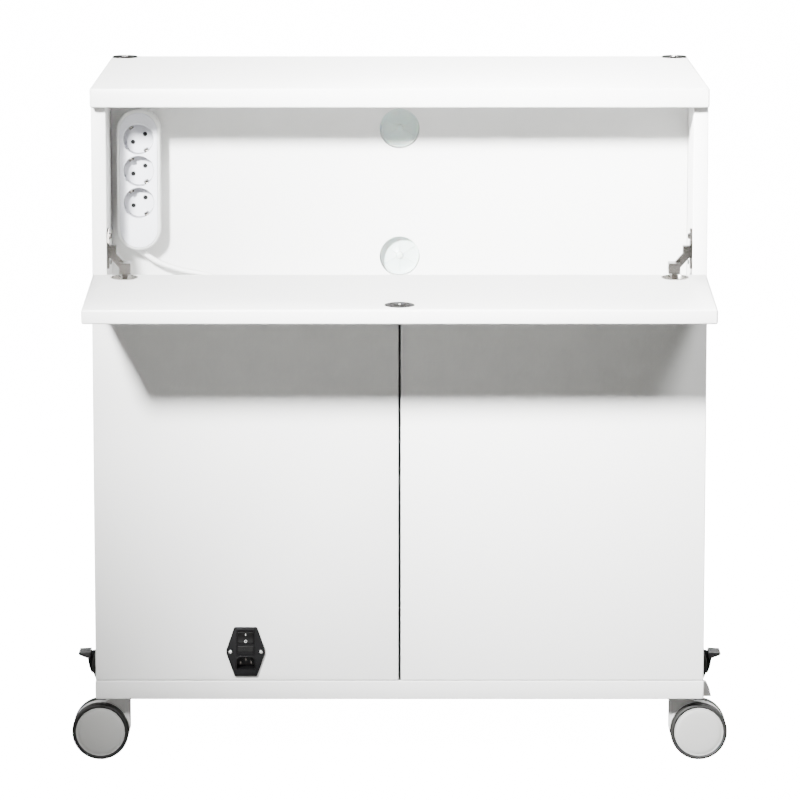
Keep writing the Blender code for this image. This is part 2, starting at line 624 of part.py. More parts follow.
def add_inlet():
    """An inlet module screwed to the left door: a switch, a fuse drawer and a three-pin inlet."""
    at = (INLET_X, 0, INLET_Z)
    half_width, half_height = INLET_HALF_WIDTH, INLET_HALF_HEIGHT
    flange = extruded("XZ", [(-13.8, 32.9), (-25.3, 11), (-25.3, -11), (-13.8, -32.9),
                             (13.8, -32.9), (25.3, -11), (25.3, 11), (13.8, 32.9)], -INLET_FLANGE, -TOUCH)
    body = block((-half_width, -1.5, -half_height), (half_width, INLET_DEPTH, half_height))
    gland = block((-7, PANEL + 1.5, half_height - 6), (7, INLET_DEPTH - 1.5, half_height - 0.2))
    well_half, well_front = 10.8, -INLET_FLANGE - 5
    rocker_well = block((-well_half, well_front, ROCKER_ABOVE - 9.2), (well_half, 9, ROCKER_ABOVE + 9.2))
    drawer_well = block((-well_half, well_front, DRAWER_ABOVE - 4.8), (well_half, 24, DRAWER_ABOVE + 4.8))
    c14 = -C14_BELOW
    cavity = extruded("XZ", [(-12, c14 - 8), (12, c14 - 8), (12, c14 + 4), (8, c14 + 8), (-8, c14 + 8),
                             (-12, c14 + 4)], well_front, C14_DEPTH)
    screw_holes = [rod("Y", (side * INLET_SCREW_X, 0, 0), well_front, 5, 1.9, 12) for side in (-1, 1)]
    pins = [
        block((x - 1, 1, c14 + z - 2), (x + 1, C14_DEPTH + 2, c14 + z + 2))
        for x, z in ((-7, -1.5), (7, -1.5), (0, 2.8))
    ]
    piece("inlet_body", BLACK_PLASTIC, flange, joined=[body, gland],
          cut=[rocker_well, drawer_well, cavity, *screw_holes], joined_last=pins, at=at)

    rocker = block((-10.4, -5.5, -8.2), (10.4, 4, 8.2))
    piece("inlet_rocker", BLACK_PLASTIC, rocker, at=(INLET_X, 0, INLET_Z + ROCKER_ABOVE),
          turn=(ROCKER_TILT, 0, 0), edge=0.8)
    drawer = block((-10.5, -5.2, -4.5), (10.5, 23, 4.5))
    pull = block((-6, -7, -6), (6, -4.2, -3))
    piece("fuse_drawer", BLACK_PLASTIC, drawer, cut=[pull], at=(INLET_X, 0, INLET_Z + DRAWER_ABOVE), edge=0.5)
    for name, side in (("left", -1), ("right", 1)):
        screw = turned("Y", (0, 0, 0), [(0, -4.3), (3.2, -4.3), (3.2, -4.9), (2.2, -6), (0, -6.2)], 16)
        shank = rod("Y", (0, 0, 0), -5, -0.6, 1.5, 12)
        piece(f"inlet_screw_{name}", NICKEL, screw, joined=[shank],
              at=(INLET_X + side * INLET_SCREW_X, 0, INLET_Z), smooth=True)


# ---------------------------------------------------------------- castors


def hood_outline():
    """The hood between the wheels, outwards from the stem and up: a straight inner edge, then over the wheel."""
    axle = (TRAIL, WHEEL_RADIUS)
    return ([(-12, 38), (-12, 78), (-10, HOOD_TOP), (10, HOOD_TOP)]
            + arc(axle, WHEEL_RADIUS - 0.8, 97, 24, 9)
            + [(48, 46), (TRAIL + 10, 33), (TRAIL + 4, 28), (TRAIL - 5, 28), (8, 33)])


def mirrored(side, outline):
    """An outline whose first value runs outwards, for the left or the right side."""
    return [(side * outwards, other) for outwards, other in outline]


def add_castor(name, side, y, brake, lug):
    at = (side * CASTOR_X, y, 0)
    add_stem(name, side, at, lug)

    hood = extruded("XZ", mirrored(side, hood_outline()), -HOOD_HALF, HOOD_HALF)
    axle_end = WHEEL_OUTSIDE - 2
    axle = rod("Y", (side * TRAIL, 0, WHEEL_RADIUS), -axle_end, axle_end, AXLE_RADIUS, 16)
    bore = rod("Z", (0, 0, 0), STEM_FOOT - 0.5, HOOD_TOP + 9, STEM_RADIUS + 0.2, 20)
    cuts, pins = [bore], []
    if brake:
        pivot_u, pivot_z = PEDAL_PIVOT
        slot_x = sorted((side * (pivot_u - 6), side * (PEDAL_REACH + 3)))
        cuts.append(block((slot_x[0], -3.5, 20), (slot_x[1], 3.5, 90)))
        pins.append(rod("Y", (side * pivot_u, 0, pivot_z), -6, 6, PEDAL_PIN_RADIUS, 12))
    piece(f"castor_hood_{name}", GREY_PLASTIC, hood, joined=[axle], cut=cuts, joined_last=pins, at=at)

    bore_radius, bore_end = AXLE_RADIUS + 0.2, axle_end + 0.4
    rim = [(0, bore_end), (bore_radius, bore_end), (bore_radius, WHEEL_INSIDE), (33.5, WHEEL_INSIDE),
           (WHEEL_RADIUS, WHEEL_INSIDE + 4), (WHEEL_RADIUS, WHEEL_OUTSIDE - 4), (34, WHEEL_OUTSIDE),
           (0, WHEEL_OUTSIDE)]
    for label, way in (("front", -1), ("rear", 1)):
        wheel = turned("Y", (0, 0, 0), [(radius, way * along) for radius, along in rim], 24)
        piece(f"castor_wheel_{name}_{label}", DARK_TYRE, wheel, at=(at[0] + side * TRAIL, y, WHEEL_RADIUS),
              smooth=True)
    if brake:
        add_pedal(name, side, at)


def add_stem(name, side, at, lug):
    """A castor's stem with its washer and, on one castor, a lug that rises beside the bottom board."""
    washer_low, washer_high = HOOD_TOP + 0.5, CASTOR_HEIGHT - TOUCH
    stem = turned("Z", (0, 0, 0), [
        (0, CASTOR_HEIGHT + 18), (STEM_RADIUS, CASTOR_HEIGHT + 18), (STEM_RADIUS, washer_high),
        (WASHER_RADIUS, washer_high), (WASHER_RADIUS, washer_low), (STEM_RADIUS, washer_low),
        (STEM_RADIUS, STEM_FOOT), (0, STEM_FOOT),
    ], 20)
    added = []
    if lug:
        outline = [(-4, washer_low + 0.2), (44, washer_low + 0.2), (41.5, 92), (37.5, 100.5), (33.2, 101.5),
                   (33.2, washer_high - 0.3), (-4, washer_high - 0.3)]
        added.append(extruded("XZ", mirrored(side, outline), -6, 6))
    piece(f"castor_stem_{name}", GREY_PLASTIC if lug else NICKEL, stem, joined=added, at=at, smooth=True)


def add_pedal(name, side, at):
    """A foot pedal that presses the brake, on a tongue in the hood's outer end, drawn about its own pivot."""
    pivot_u, pivot_z = PEDAL_PIVOT
    back = arc((0, 0), 4.8, 90, 270, 6)
    foot = [(14, -4.8), (18, -28), (22, -30), (30, 0), (22, 4.8)]
    tongue = extruded("XZ", mirrored(side, back + foot), -3, 3)
    pad_x = sorted((side * 16.5, side * (PEDAL_REACH - pivot_u)))
    pad = block((pad_x[0], -19, -2), (pad_x[1], 19, 3.5))
    bore = rod("Y", (0, 0, 0), -9, 9, PEDAL_PIN_RADIUS + 0.2, 12)
    piece(f"brake_pedal_{name}", BLACK_PLASTIC, pad, joined=[tongue], cut=[bore],
          at=(at[0] + side * pivot_u, at[1], pivot_z), edge=1.5)


add_carcass()
add_port_caps()
add_corner_fittings()
add_flap()
add_doors()
add_strip()
add_lead("lead_fixed", LEAD_FIXED_ROUTE)
add_lead("lead_door", LEAD_DOOR_ROUTE)
add_inlet()
for castor, (castor_side, castor_y) in {
    "front_left": (-1, CASTOR_FRONT_Y), "front_right": (1, CASTOR_FRONT_Y),
    "rear_left": (-1, CASTOR_REAR_Y), "rear_right": (1, CASTOR_REAR_Y),
}.items():
    add_castor(castor, castor_side, castor_y, castor.startswith("rear"), castor == "front_right")
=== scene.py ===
"""Looks of the mobile media cabinet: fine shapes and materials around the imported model, in metres."""

import json
import math

import bmesh
import bpy
from mathutils import Matrix, Vector


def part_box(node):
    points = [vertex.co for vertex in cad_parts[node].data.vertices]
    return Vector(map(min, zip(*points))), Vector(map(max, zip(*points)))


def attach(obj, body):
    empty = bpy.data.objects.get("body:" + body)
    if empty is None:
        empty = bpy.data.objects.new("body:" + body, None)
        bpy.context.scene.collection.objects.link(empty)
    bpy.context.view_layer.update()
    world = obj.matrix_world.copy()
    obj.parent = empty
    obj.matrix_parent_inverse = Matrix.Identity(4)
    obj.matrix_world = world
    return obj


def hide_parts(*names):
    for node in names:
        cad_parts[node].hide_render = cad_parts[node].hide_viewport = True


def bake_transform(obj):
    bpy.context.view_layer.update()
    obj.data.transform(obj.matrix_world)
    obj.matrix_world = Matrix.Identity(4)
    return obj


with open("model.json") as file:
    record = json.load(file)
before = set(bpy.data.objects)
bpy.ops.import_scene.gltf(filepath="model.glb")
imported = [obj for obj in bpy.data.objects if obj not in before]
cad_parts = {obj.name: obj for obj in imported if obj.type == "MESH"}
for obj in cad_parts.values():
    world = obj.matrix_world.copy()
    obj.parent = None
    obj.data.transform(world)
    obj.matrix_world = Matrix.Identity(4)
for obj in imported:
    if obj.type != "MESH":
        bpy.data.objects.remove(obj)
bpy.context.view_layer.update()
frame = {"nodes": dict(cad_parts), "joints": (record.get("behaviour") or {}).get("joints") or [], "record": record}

MM = 0.001
SIDES = (("left", -1), ("right", 1))
NODES = frame["nodes"]
JOINTS = {joint["name"]: joint for joint in frame["joints"]}
FRONT_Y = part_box("top_board")[0].y  # plane of the door fronts
BODY_OF = {node: body for body, nodes in frame["record"]["behaviour"]["bodies"].items() for node in nodes}


def at(x, y, z):
    """A place given in millimetres from the middle, back from the door fronts and up from the floor."""
    return Vector((x * MM, FRONT_Y + y * MM, z * MM))


# ---------------------------------------------------------------- camera, light and floor


CAMERA_DISTANCE = 6.209  # in front of the door fronts
CAMERA_HEIGHT = 1.449
CAMERA_PITCH = 8.84  # degrees downwards
CAMERA_LENS = 217.1


def add_camera():
    data = bpy.data.cameras.new("camera")
    data.sensor_width = 36
    data.lens = CAMERA_LENS
    data.clip_end = 200
    camera = bpy.data.objects.new("camera", data)
    camera.location = (0.0005, FRONT_Y - CAMERA_DISTANCE, CAMERA_HEIGHT)
    camera.rotation_euler = (math.radians(90 - CAMERA_PITCH), 0, 0)
    bpy.context.scene.collection.objects.link(camera)
    bpy.context.scene.camera = camera


def add_area_light(name, place, aim, size, power, spread=180):
    """A round lamp; the spread is in degrees."""
    data = bpy.data.lights.new(name, "AREA")
    data.shape = "DISK"
    data.size = size
    data.energy = power
    data.spread = math.radians(spread)
    light = bpy.data.objects.new(name, data)
    light.location = place
    light.rotation_euler = (Vector(aim) - Vector(place)).to_track_quat("-Z", "Y").to_euler()
    bpy.context.scene.collection.objects.link(light)


def add_lights():
    """The key comes from the front's upper left, and is narrow enough to fade towards the cabinet's lower left. The
    others lift the castors, the sides, the top and the back."""
    add_area_light("key", at(-880, -1750, 1640), at(390, 0, 870), 0.26, 74, 57)
    add_area_light("fill", at(1000, -2200, 2100), at(0, 0, 700), 0.6, 55)
    add_area_light("low", at(-250, -1100, 120), at(-120, 0, 40), 0.7, 3)
    for side, way in SIDES:
        add_area_light(f"side_{side}", at(way * 2300, 1100, 1500), at(way * 400, 250, 450), 1.2, 55)
    add_area_light("behind", at(300, 1600, 2500), at(250, 250, 800), 1.2, 150, 120)


def add_world(below, above):
    """A soft, slightly warm light from all around, brighter from the floor's side."""
    world = bpy.data.worlds.new("studio")
    world.use_nodes = True
    tree = world.node_tree
    background = tree.nodes["Background"]
    background.inputs["Color"].default_value = (1, 0.985, 0.92, 1)
    place = tree.nodes.new("ShaderNodeTexCoord")
    height = tree.nodes.new("ShaderNodeSeparateXYZ")
    blend = tree.nodes.new("ShaderNodeMapRange")
    for socket, value in (("From Min", -0.3), ("From Max", 0.3), ("To Min", below), ("To Max", above)):
        blend.inputs[socket].default_value = value
    tree.links.new(place.outputs["Generated"], height.inputs["Vector"])
    tree.links.new(height.outputs["Z"], blend.inputs["Value"])
    tree.links.new(blend.outputs["Result"], background.inputs["Strength"])
    bpy.context.scene.world = world


FLOOR_REACH = 40
DOME_RADIUS = 58


def add_backdrop():
    """A white paper floor and a dome around it. Their glow is for the camera alone, and doesn't light the
    cabinet."""
    floor = bmesh.new()
    bmesh.ops.create_grid(floor, x_segments=1, y_segments=1, size=FLOOR_REACH)
    dome = bmesh.new()
    bmesh.ops.create_uvsphere(dome, u_segments=48, v_segments=24, radius=DOME_RADIUS)
    for name, shape, base, glow in (("floor", floor, 0.85, 16.0), ("dome", dome, 0.0, 20.0)):
        mesh = bpy.data.meshes.new(name)
        shape.to_mesh(mesh)
        shape.free()
        paper = new_material(f"{name}_paper", (base, base, base), 0.9, Specular_IOR_Level=0.0,
                             Emission_Color=(1, 1, 1, 1), Emission_Strength=glow)
        mesh.materials.append(paper)
        thing = bpy.data.objects.new(name, mesh)
        thing.visible_diffuse = thing.visible_glossy = thing.visible_transmission = False
        thing.visible_shadow = name == "floor"
        bpy.context.scene.collection.objects.link(thing)


# ---------------------------------------------------------------- materials


def new_material(name, color, roughness, metallic=0.0, **sockets):
    material = bpy.data.materials.new(name)
    material.use_nodes = True
    shader = material.node_tree.nodes["Principled BSDF"]
    shader.inputs["Base Color"].default_value = (*color, 1)
    shader.inputs["Roughness"].default_value = roughness
    shader.inputs["Metallic"].default_value = metallic
    for socket, value in sockets.items():
        shader.inputs[socket.replace("_", " ")].default_value = value
    return material


BUMP_DISTANCE = 0.0002
CLOUD_SCALE = 3.5


def textured(material, scale, spread, bump, shade, stretch):
    """Adds a grain in object coordinates: it varies the roughness by the spread and raises the surface a little,
    and a broad cloud varies the colour by the shade."""
    tree = material.node_tree
    shader = tree.nodes["Principled BSDF"]
    color = list(shader.inputs["Base Color"].default_value)
    rough = shader.inputs["Roughness"].default_value
    place = tree.nodes.new("ShaderNodeTexCoord")
    mapping = tree.nodes.new("ShaderNodeMapping")
    mapping.inputs["Scale"].default_value = stretch
    tree.links.new(place.outputs["Object"], mapping.inputs["Vector"])
    fine = tree.nodes.new("ShaderNodeTexNoise")
    fine.inputs["Scale"].default_value = scale
    fine.inputs["Detail"].default_value = 4
    tree.links.new(mapping.outputs["Vector"], fine.inputs["Vector"])
    cloud = tree.nodes.new("ShaderNodeTexNoise")
    cloud.inputs["Scale"].default_value = CLOUD_SCALE
    cloud.inputs["Detail"].default_value = 3
    tree.links.new(mapping.outputs["Vector"], cloud.inputs["Vector"])

    def ranged(source, low, high):
        node = tree.nodes.new("ShaderNodeMapRange")
        node.inputs["From Min"].default_value = 0.3
        node.inputs["From Max"].default_value = 0.7
        node.inputs["To Min"].default_value = low
        node.inputs["To Max"].default_value = high
        tree.links.new(source, node.inputs["Value"])
        return node.outputs["Result"]

    tree.links.new(ranged(fine.outputs["Fac"], rough - spread, rough + spread), shader.inputs["Roughness"])
    ramp = tree.nodes.new("ShaderNodeMix")
    ramp.data_type = "RGBA"
    ramp.inputs["A"].default_value = [value * (1 - shade) for value in color[:3]] + [1]
    ramp.inputs["B"].default_value = [min(1, value * (1 + shade)) for value in color[:3]] + [1]
    tree.links.new(ranged(cloud.outputs["Fac"], 0, 1), ramp.inputs["Factor"])
    tree.links.new(ramp.outputs["Result"], shader.inputs["Base Color"])
    raised = tree.nodes.new("ShaderNodeBump")
    raised.inputs["Strength"].default_value = bump
    raised.inputs["Distance"].default_value = BUMP_DISTANCE
    tree.links.new(fine.outputs["Fac"], raised.inputs["Height"])
    tree.links.new(raised.outputs["Normal"], shader.inputs["Normal"])
    return material


def surface(slot, name, color, roughness, grain, spread, bump, shade=0.02, stretch=(1, 1, 1), **sockets):
    """A textured material. The slot, one of the record's material slots, is not used."""
    material = textured(new_material(name, color, roughness, **sockets), grain, spread, bump, shade, stretch)
    return material


BOARD = surface("white_board", "white_melamine", (0.83, 0.83, 0.82), 0.42, 1400, 0.05, 0.12, 0.008)
EDGING = surface("white_board", "white_edging", (0.81, 0.81, 0.80), 0.34, 700, 0.05, 0.08, 0.01)
WHITE = surface("white_plastic", "white_plastic", (0.84, 0.85, 0.84), 0.3, 1100, 0.05, 0.08, 0.01)
PORT = surface("white_plastic", "port_plastic", (0.66, 0.72, 0.69), 0.33, 900, 0.06, 0.08, Subsurface_Weight=0.1)
SOCKET_WHITE = surface("white_plastic", "socket_plastic", (0.77, 0.78, 0.83), 0.26, 1300, 0.04, 0.06, 0.01)
# Dark grey for the sockets' well walls: painted shade, standing in for the shadow inside the deep white wells.
WELL_PAINTED_SHADE = surface("white_plastic", "socket_wall_painted_shade", (0.20, 0.20, 0.22), 0.35, 1300, 0.04, 0.06, 0.01)
SHEATH = surface("white_plastic", "lead_sheath", (0.80, 0.80, 0.79), 0.45, 1500, 0.06, 0.2)
PRINT = surface("white_plastic", "white_print", (0.75, 0.75, 0.74), 0.5, 900, 0.05, 0.05)
GREY = surface("grey_plastic", "grey_plastic", (0.50, 0.50, 0.49), 0.4, 1500, 0.06, 0.25, 0.03)
HUB = surface("grey_plastic", "hub_plastic", (0.42, 0.42, 0.41), 0.45, 1600, 0.06, 0.3, 0.03)
HOOD = surface("grey_plastic", "hood_plastic", (0.66, 0.66, 0.65), 0.42, 1400, 0.06, 0.25, 0.03)
TYRE = surface("tyre", "grey_tyre", (0.016, 0.016, 0.015), 0.6, 1200, 0.1, 0.4, 0.15, Specular_IOR_Level=0.3)
BLACK = surface("black_plastic", "black_plastic", (0.004, 0.004, 0.0045), 0.42, 1400, 0.07, 0.2, 0.2,
                Specular_IOR_Level=0.2)
BLACK_MATT = surface("black_plastic", "black_matt", (0.005, 0.005, 0.005), 0.5, 1700, 0.08, 0.3, 0.2,
                     Specular_IOR_Level=0.25)
PEDAL = surface("black_plastic", "pedal_plastic", (0.03, 0.03, 0.03), 0.38, 1500, 0.08, 0.3, 0.2)
NICKEL = surface("nickel", "nickel", (0.25, 0.236, 0.218), 0.34, 400, 0.08, 0.06, stretch=(1, 1, 6), metallic=1.0)
DARK_NICKEL = surface("nickel", "dark_nickel", (0.11, 0.103, 0.096), 0.25, 500, 0.1, 0.08, 0.12, (8, 1, 1),
                      metallic=1.0)
BRIGHT = surface("nickel", "bright_nickel", (0.66, 0.645, 0.62), 0.3, 500, 0.08, 0.06, metallic=1.0)
GUNMETAL = surface("nickel", "gunmetal", (0.011, 0.0107, 0.0103), 0.5, 500, 0.1, 0.08, 0.15, (8, 1, 1),
                   Specular_IOR_Level=0.02)
STEEL = surface("nickel", "steel", (0.62, 0.62, 0.61), 0.22, 600, 0.07, 0.05, metallic=1.0)


# ---------------------------------------------------------------- shapes


def to_object(name, shape, material):
    mesh = bpy.data.meshes.new(name)
    bmesh.ops.recalc_face_normals(shape, faces=shape.faces)
    shape.to_mesh(mesh)
    shape.free()
    mesh.materials.append(material)
    thing = bpy.data.objects.new(name, mesh)
    bpy.context.scene.collection.objects.link(thing)
    return thing


def settle(thing):
    """Turns a thing's modifiers into its mesh."""
    graph = bpy.context.evaluated_depsgraph_get()
    mesh = bpy.data.meshes.new_from_object(thing.evaluated_get(graph))
    thing.modifiers.clear()
    thing.data = mesh


def carve(thing, *cutters, operation="DIFFERENCE"):
    """Cuts shapes out of a thing, or joins them to it, and removes them."""
    for cutter in cutters:
        boolean = thing.modifiers.new("carve", "BOOLEAN")
        boolean.operation = operation
        boolean.object = cutter
        boolean.solver = "EXACT"
    settle(thing)
    for cutter in cutters:
        bpy.data.objects.remove(cutter)


def soften(thing, width, segments, angle=35):
    """Rounds the edges sharper than an angle, in degrees."""
    bevel = thing.modifiers.new("soft_edges", "BEVEL")
    bevel.width = width
    bevel.segments = segments
    bevel.limit_method = "ANGLE"
    bevel.angle_limit = math.radians(angle)
    settle(thing)
    shade(thing)


def shade(thing, angle=38):
    thing.data.shade_smooth()
    thing.data.set_sharp_from_angle(angle=math.radians(angle))
    return thing


def cuboid(name, low, high, material):
    low, high = Vector(low), Vector(high)
    shape = bmesh.new()
    bmesh.ops.create_cube(shape, size=1)
    bmesh.ops.scale(shape, vec=high - low, verts=shape.verts)
    bmesh.ops.translate(shape, vec=(low + high) / 2, verts=shape.verts)
    return to_object(name, shape, material)


TURNS = {"X": Matrix.Rotation(math.pi / 2, 4, "Y"), "Y": Matrix.Rotation(-math.pi / 2, 4, "X"),
         "Z": Matrix.Identity(4)}


def lathe(name, axis, centre, profile, material, steps=64, scale=MM, angle=38):
    """A turned shape about an axis through the centre: the profile lists (radius, place along the axis), in
    millimetres, and starts and ends on the axis or closes on itself."""
    shape = bmesh.new()
    rings = []
    for radius, along in profile:
        if radius == 0:
            rings.append([shape.verts.new((0, 0, along * scale))] * steps)
            continue
        rings.append([
            shape.verts.new((radius * scale * math.cos(math.tau * i / steps),
                             radius * scale * math.sin(math.tau * i / steps), along * scale))
            for i in range(steps)
        ])
    pairs = list(zip(rings, rings[1:]))
    if profile[0][0] and profile[-1][0]:
        pairs.append((rings[-1], rings[0]))
    for first, second in pairs:
        for i in range(steps):
            j = (i + 1) % steps
            corners = list(dict.fromkeys((first[i], first[j], second[j], second[i])))
            if len(corners) > 2:
                shape.faces.new(corners)
    bmesh.ops.transform(shape, matrix=Matrix.Translation(Vector(centre)) @ TURNS[axis], verts=shape.verts)
    return shade(to_object(name, shape, material), angle)


PLANES = {
    "XY": Matrix.Identity(4),
    "XZ": Matrix(((1, 0, 0, 0), (0, 0, 1, 0), (0, 1, 0, 0), (0, 0, 0, 1))),
    "YZ": Matrix(((0, 0, 1, 0), (1, 0, 0, 0), (0, 1, 0, 0), (0, 0, 0, 1))),
}


def prism(name, plane, outline, low, high, material, centre=(0, 0, 0), scale=MM):
    """A flat outline, in millimetres about the centre, extruded from low to high along the third axis."""
    shape = bmesh.new()
    lower = [shape.verts.new((u * scale, v * scale, low * scale)) for u, v in outline]
    upper = [shape.verts.new((u * scale, v * scale, high * scale)) for u, v in outline]
    shape.faces.new(lower)
    shape.faces.new(upper)
    count = len(outline)
    for i in range(count):
        j = (i + 1) % count
        shape.faces.new((lower[i], lower[j], upper[j], upper[i]))
    bmesh.ops.transform(shape, matrix=Matrix.Translation(Vector(centre)) @ PLANES[plane], verts=shape.verts)
    return to_object(name, shape, material)


def arc(centre, radius, start, end, steps):
    """Points along a circle between two angles, in degrees."""
    angles = [math.radians(start + (end - start) * i / steps) for i in range(steps + 1)]
    return [(centre[0] + radius * math.cos(a), centre[1] + radius * math.sin(a)) for a in angles]


def outward(side, points):
    """Turns an outline drawn outwards to the right into one for a side: -1 for the left."""
    return [(side * u, z) for u, z in points]


def rounded(half_u, half_v, radius, steps=6, centre=(0, 0)):
    """A rectangle with round corners."""
    cu, cv = centre
    points = []
    for u, v, start in ((1, 1, 0), (-1, 1, 90), (-1, -1, 180), (1, -1, 270)):
        points += arc((cu + u * (half_u - radius), cv + v * (half_v - radius)), radius, start, start + 90, steps)
    return points


def drill(axis, centre, low, high, radius, steps=48):
    """A round cutter; low and high are places along the axis, in metres."""
    centre = Vector(centre)
    centre["XYZ".index(axis)] = 0
    return lathe("drill", axis, centre, [(0, low), (radius, low), (radius, high), (0, high)], BOARD, steps, scale=1)


def screw_head(name, axis, place, way, radius, height, material=STEEL):
    """A cross-head screw's head, in millimetres; way is the side that it faces."""
    profile = [(0, height), (radius * 0.55, height * 0.95), (radius * 0.85, height * 0.6), (radius, 0),
               (radius * 0.9, -0.5), (0, -0.5)]
    head = lathe(name, axis, place, [(r, way * along) for r, along in profile], material, 32)
    long, thin, deep = radius * 0.72 * MM, radius * 0.16 * MM, height * MM
    index = "XYZ".index(axis)
    others = [i for i in range(3) if i != index]
    cutters = []
    for first, second in (others, others[::-1]):
        half = [0, 0, 0]
        half[index] = deep * 0.7
        half[first] = long
        half[second] = thin
        centre = Vector(place)
        centre[index] += way * deep * 1.05
        cutters.append(cuboid("drive", centre - Vector(half), centre + Vector(half), STEEL))
    carve(head, *cutters)
    return shade(head)


def give(thing, body, *nodes):
    """The piece rides on a body and stands for the named CAD nodes."""
    if nodes:
        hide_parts(*nodes)
    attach(thing, body)


def finish_node(node, material, rounding):
    """Keeps a CAD node, with softened edges and its material."""
    thing = NODES[node]
    thing.data.materials.clear()
    thing.data.materials.append(material)
    bevel = thing.modifiers.new("soft_edges", "BEVEL")
    bevel.width = rounding
    bevel.segments = 2
    bevel.limit_method = "ANGLE"
    bevel.angle_limit = math.radians(40)


def middle(node):
    low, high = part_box(node)
    return (low + high) / 2


# ---------------------------------------------------------------- boards


BOARD_SHARP = 50  # degrees between a board's faces that stay sharp
PAST = 0.01  # how far a cutter reaches past a board
CUP_BORE = 0.0175  # a hinge cup's radius in its board
CUP_DEPTH = 0.0125
CUP_MIDDLE = 0.0135  # from a hinge's pin to its cup's axis


def edge_band(thing, thickness_axis, rounding, segments=3):
    """Gives a melamine block its edging, on its narrow sides, and its rounded edges."""
    thing.data.materials.append(EDGING)
    axis = "XYZ".index(thickness_axis)
    for face in thing.data.polygons:
        face.material_index = 0 if abs(face.normal[axis]) > 0.5 else 1
    bevel = thing.modifiers.new("soft_edges", "BEVEL")
    bevel.width = rounding
    bevel.segments = segments
    bevel.material = 1
    settle(thing)


def board(node, thickness_axis, rounding, cutters=(), low=None, high=None):
    """A melamine board in the CAD board's place, or in a box of its own."""
    if low is None:
        low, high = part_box(node)
    thing = cuboid(f"{node}_melamine", low, high, BOARD)
    edge_band(thing, thickness_axis, rounding)
    if cutters:
        carve(thing, *cutters)
    shade(thing, BOARD_SHARP)
    give(thing, BODY_OF[node], node)


CASTORS = ("front_left", "front_right", "rear_left", "rear_right")


def add_boards():
    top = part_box("top_board")[1].z
    fittings = [
        drill("Z", middle(f"corner_fitting_{side}"), top - 0.013, top + PAST, 0.0123)
        for side in ("left", "right")
    ]
    board("top_board", "Z", 0.0022, fittings)
    base_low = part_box("bottom_board")[0]
    stems = []
    for place in CASTORS:  # the right ones mirror the left ones, as a lug puts one stem's middle off its axis
        stem = middle(f"castor_stem_{place.replace('right', 'left')}")
        if place.endswith("right"):
            stem.x = -stem.x
        stems.append(drill("Z", stem, base_low.z - PAST, base_low.z + 0.02, 0.0053))
    board("bottom_board", "Z", 0.0018, stems)
    for side, _ in SIDES:
        board(f"side_panel_{side}", "X", 0.001)
    board("rear_panel", "Y", 0.0008)
    board("shelf", "Z", 0.0015)
    wall_low, wall_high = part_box("compartment_back_wall")
    ports = []
    for level in ("lower", "upper"):
        centre = middle(f"port_cap_{level}")
        ports.append(drill("Y", centre, wall_low.y - PAST, wall_high.y + PAST, 0.0265, 64))
    board("compartment_back_wall", "Y", 0.0006, ports)
    add_compartment_floor()
    add_door_panels()
    add_flap_panel()


CABLE_HOLE = (-228, 116)
GAP = 0.0003  # between the compartment's floor and its sides


def add_compartment_floor():
    """Its front band reaches out between the sides' fronts, and its hole for the lead has a bush."""
    low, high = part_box("compartment_floor")
    side_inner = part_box("side_panel_right")[0].x - GAP
    side_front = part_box("side_panel_right")[0].y - GAP
    outline = [(low.x, low.y), (high.x, low.y), (high.x, side_front), (side_inner, side_front), (side_inner, high.y),
               (-side_inner, high.y), (-side_inner, side_front), (low.x, side_front)]
    floor = prism("compartment_floor_melamine", "XY", outline, low.z, high.z, BOARD, scale=1)
    edge_band(floor, "Z", 0.0012, 2)
    hole = at(*CABLE_HOLE, high.z / MM)
    carve(floor, drill("Z", hole, low.z - PAST, high.z + PAST, 0.020, 64))
    shade(floor, BOARD_SHARP)
    give(floor, "root", "compartment_floor")
    bush = lathe("cable_hole_bush", "Z", hole,
                 [(19.6, -18), (19.6, 0.1), (22, 0.1), (22, 0.7), (21.4, 1.1), (19, 1.1), (18.4, 0.5), (18.4, -18)],
                 WHITE)
    give(bush, "root")


DOOR_DROP = 0.0017  # of the door's lower edge, closer to the bottom board


def add_door_panels():
    for side, _ in SIDES:
        low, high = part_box(f"door_{side}")
        cutters = []
        for level in ("lower", "upper"):
            cup = middle(f"door_hinge_cup_{side}_{level}")
            cutters.append(drill("Y", cup, high.y - CUP_DEPTH, high.y + PAST, CUP_BORE))
        if side == "left":
            inlet_low, inlet_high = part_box("inlet_body")
            centre = (inlet_low + inlet_high) / 2
            cutters.append(cuboid("inlet_cutter", (centre.x - 0.0143, low.y - PAST, centre.z - 0.0293),
                                  (centre.x + 0.0143, high.y + PAST, centre.z + 0.0293), BOARD))
        low.z -= DOOR_DROP
        board(f"door_{side}", "Y", 0.0015, cutters, low=low, high=high)


FLAP = JOINTS["flap_hinge"]
FLAP_PIVOT = Vector(FLAP["pos_m"])
FLAP_OPEN = math.radians(FLAP["range_deg"][1])
FLAP_PLACE = Matrix.Translation(FLAP_PIVOT) @ Matrix.Rotation(FLAP_OPEN, 4, "X")
FLAP_LENGTH = 0.2335
FLAP_EDGE_BELOW = 0.008  # from the pivot to the hinged edge of the closed flap
FLAP_FACE = 0.009  # from the pivot to the flap's inner face
PANEL = 0.019
LOCK_Z = FLAP_LENGTH - FLAP_EDGE_BELOW - 0.032  # from the pivot to the middle of the lock


def on_flap(thing):
    """Turns a piece that was drawn for the closed flap, about its pivot, to the open flap."""
    thing.matrix_world = FLAP_PLACE @ thing.matrix_world
    bpy.context.view_layer.update()
    return thing


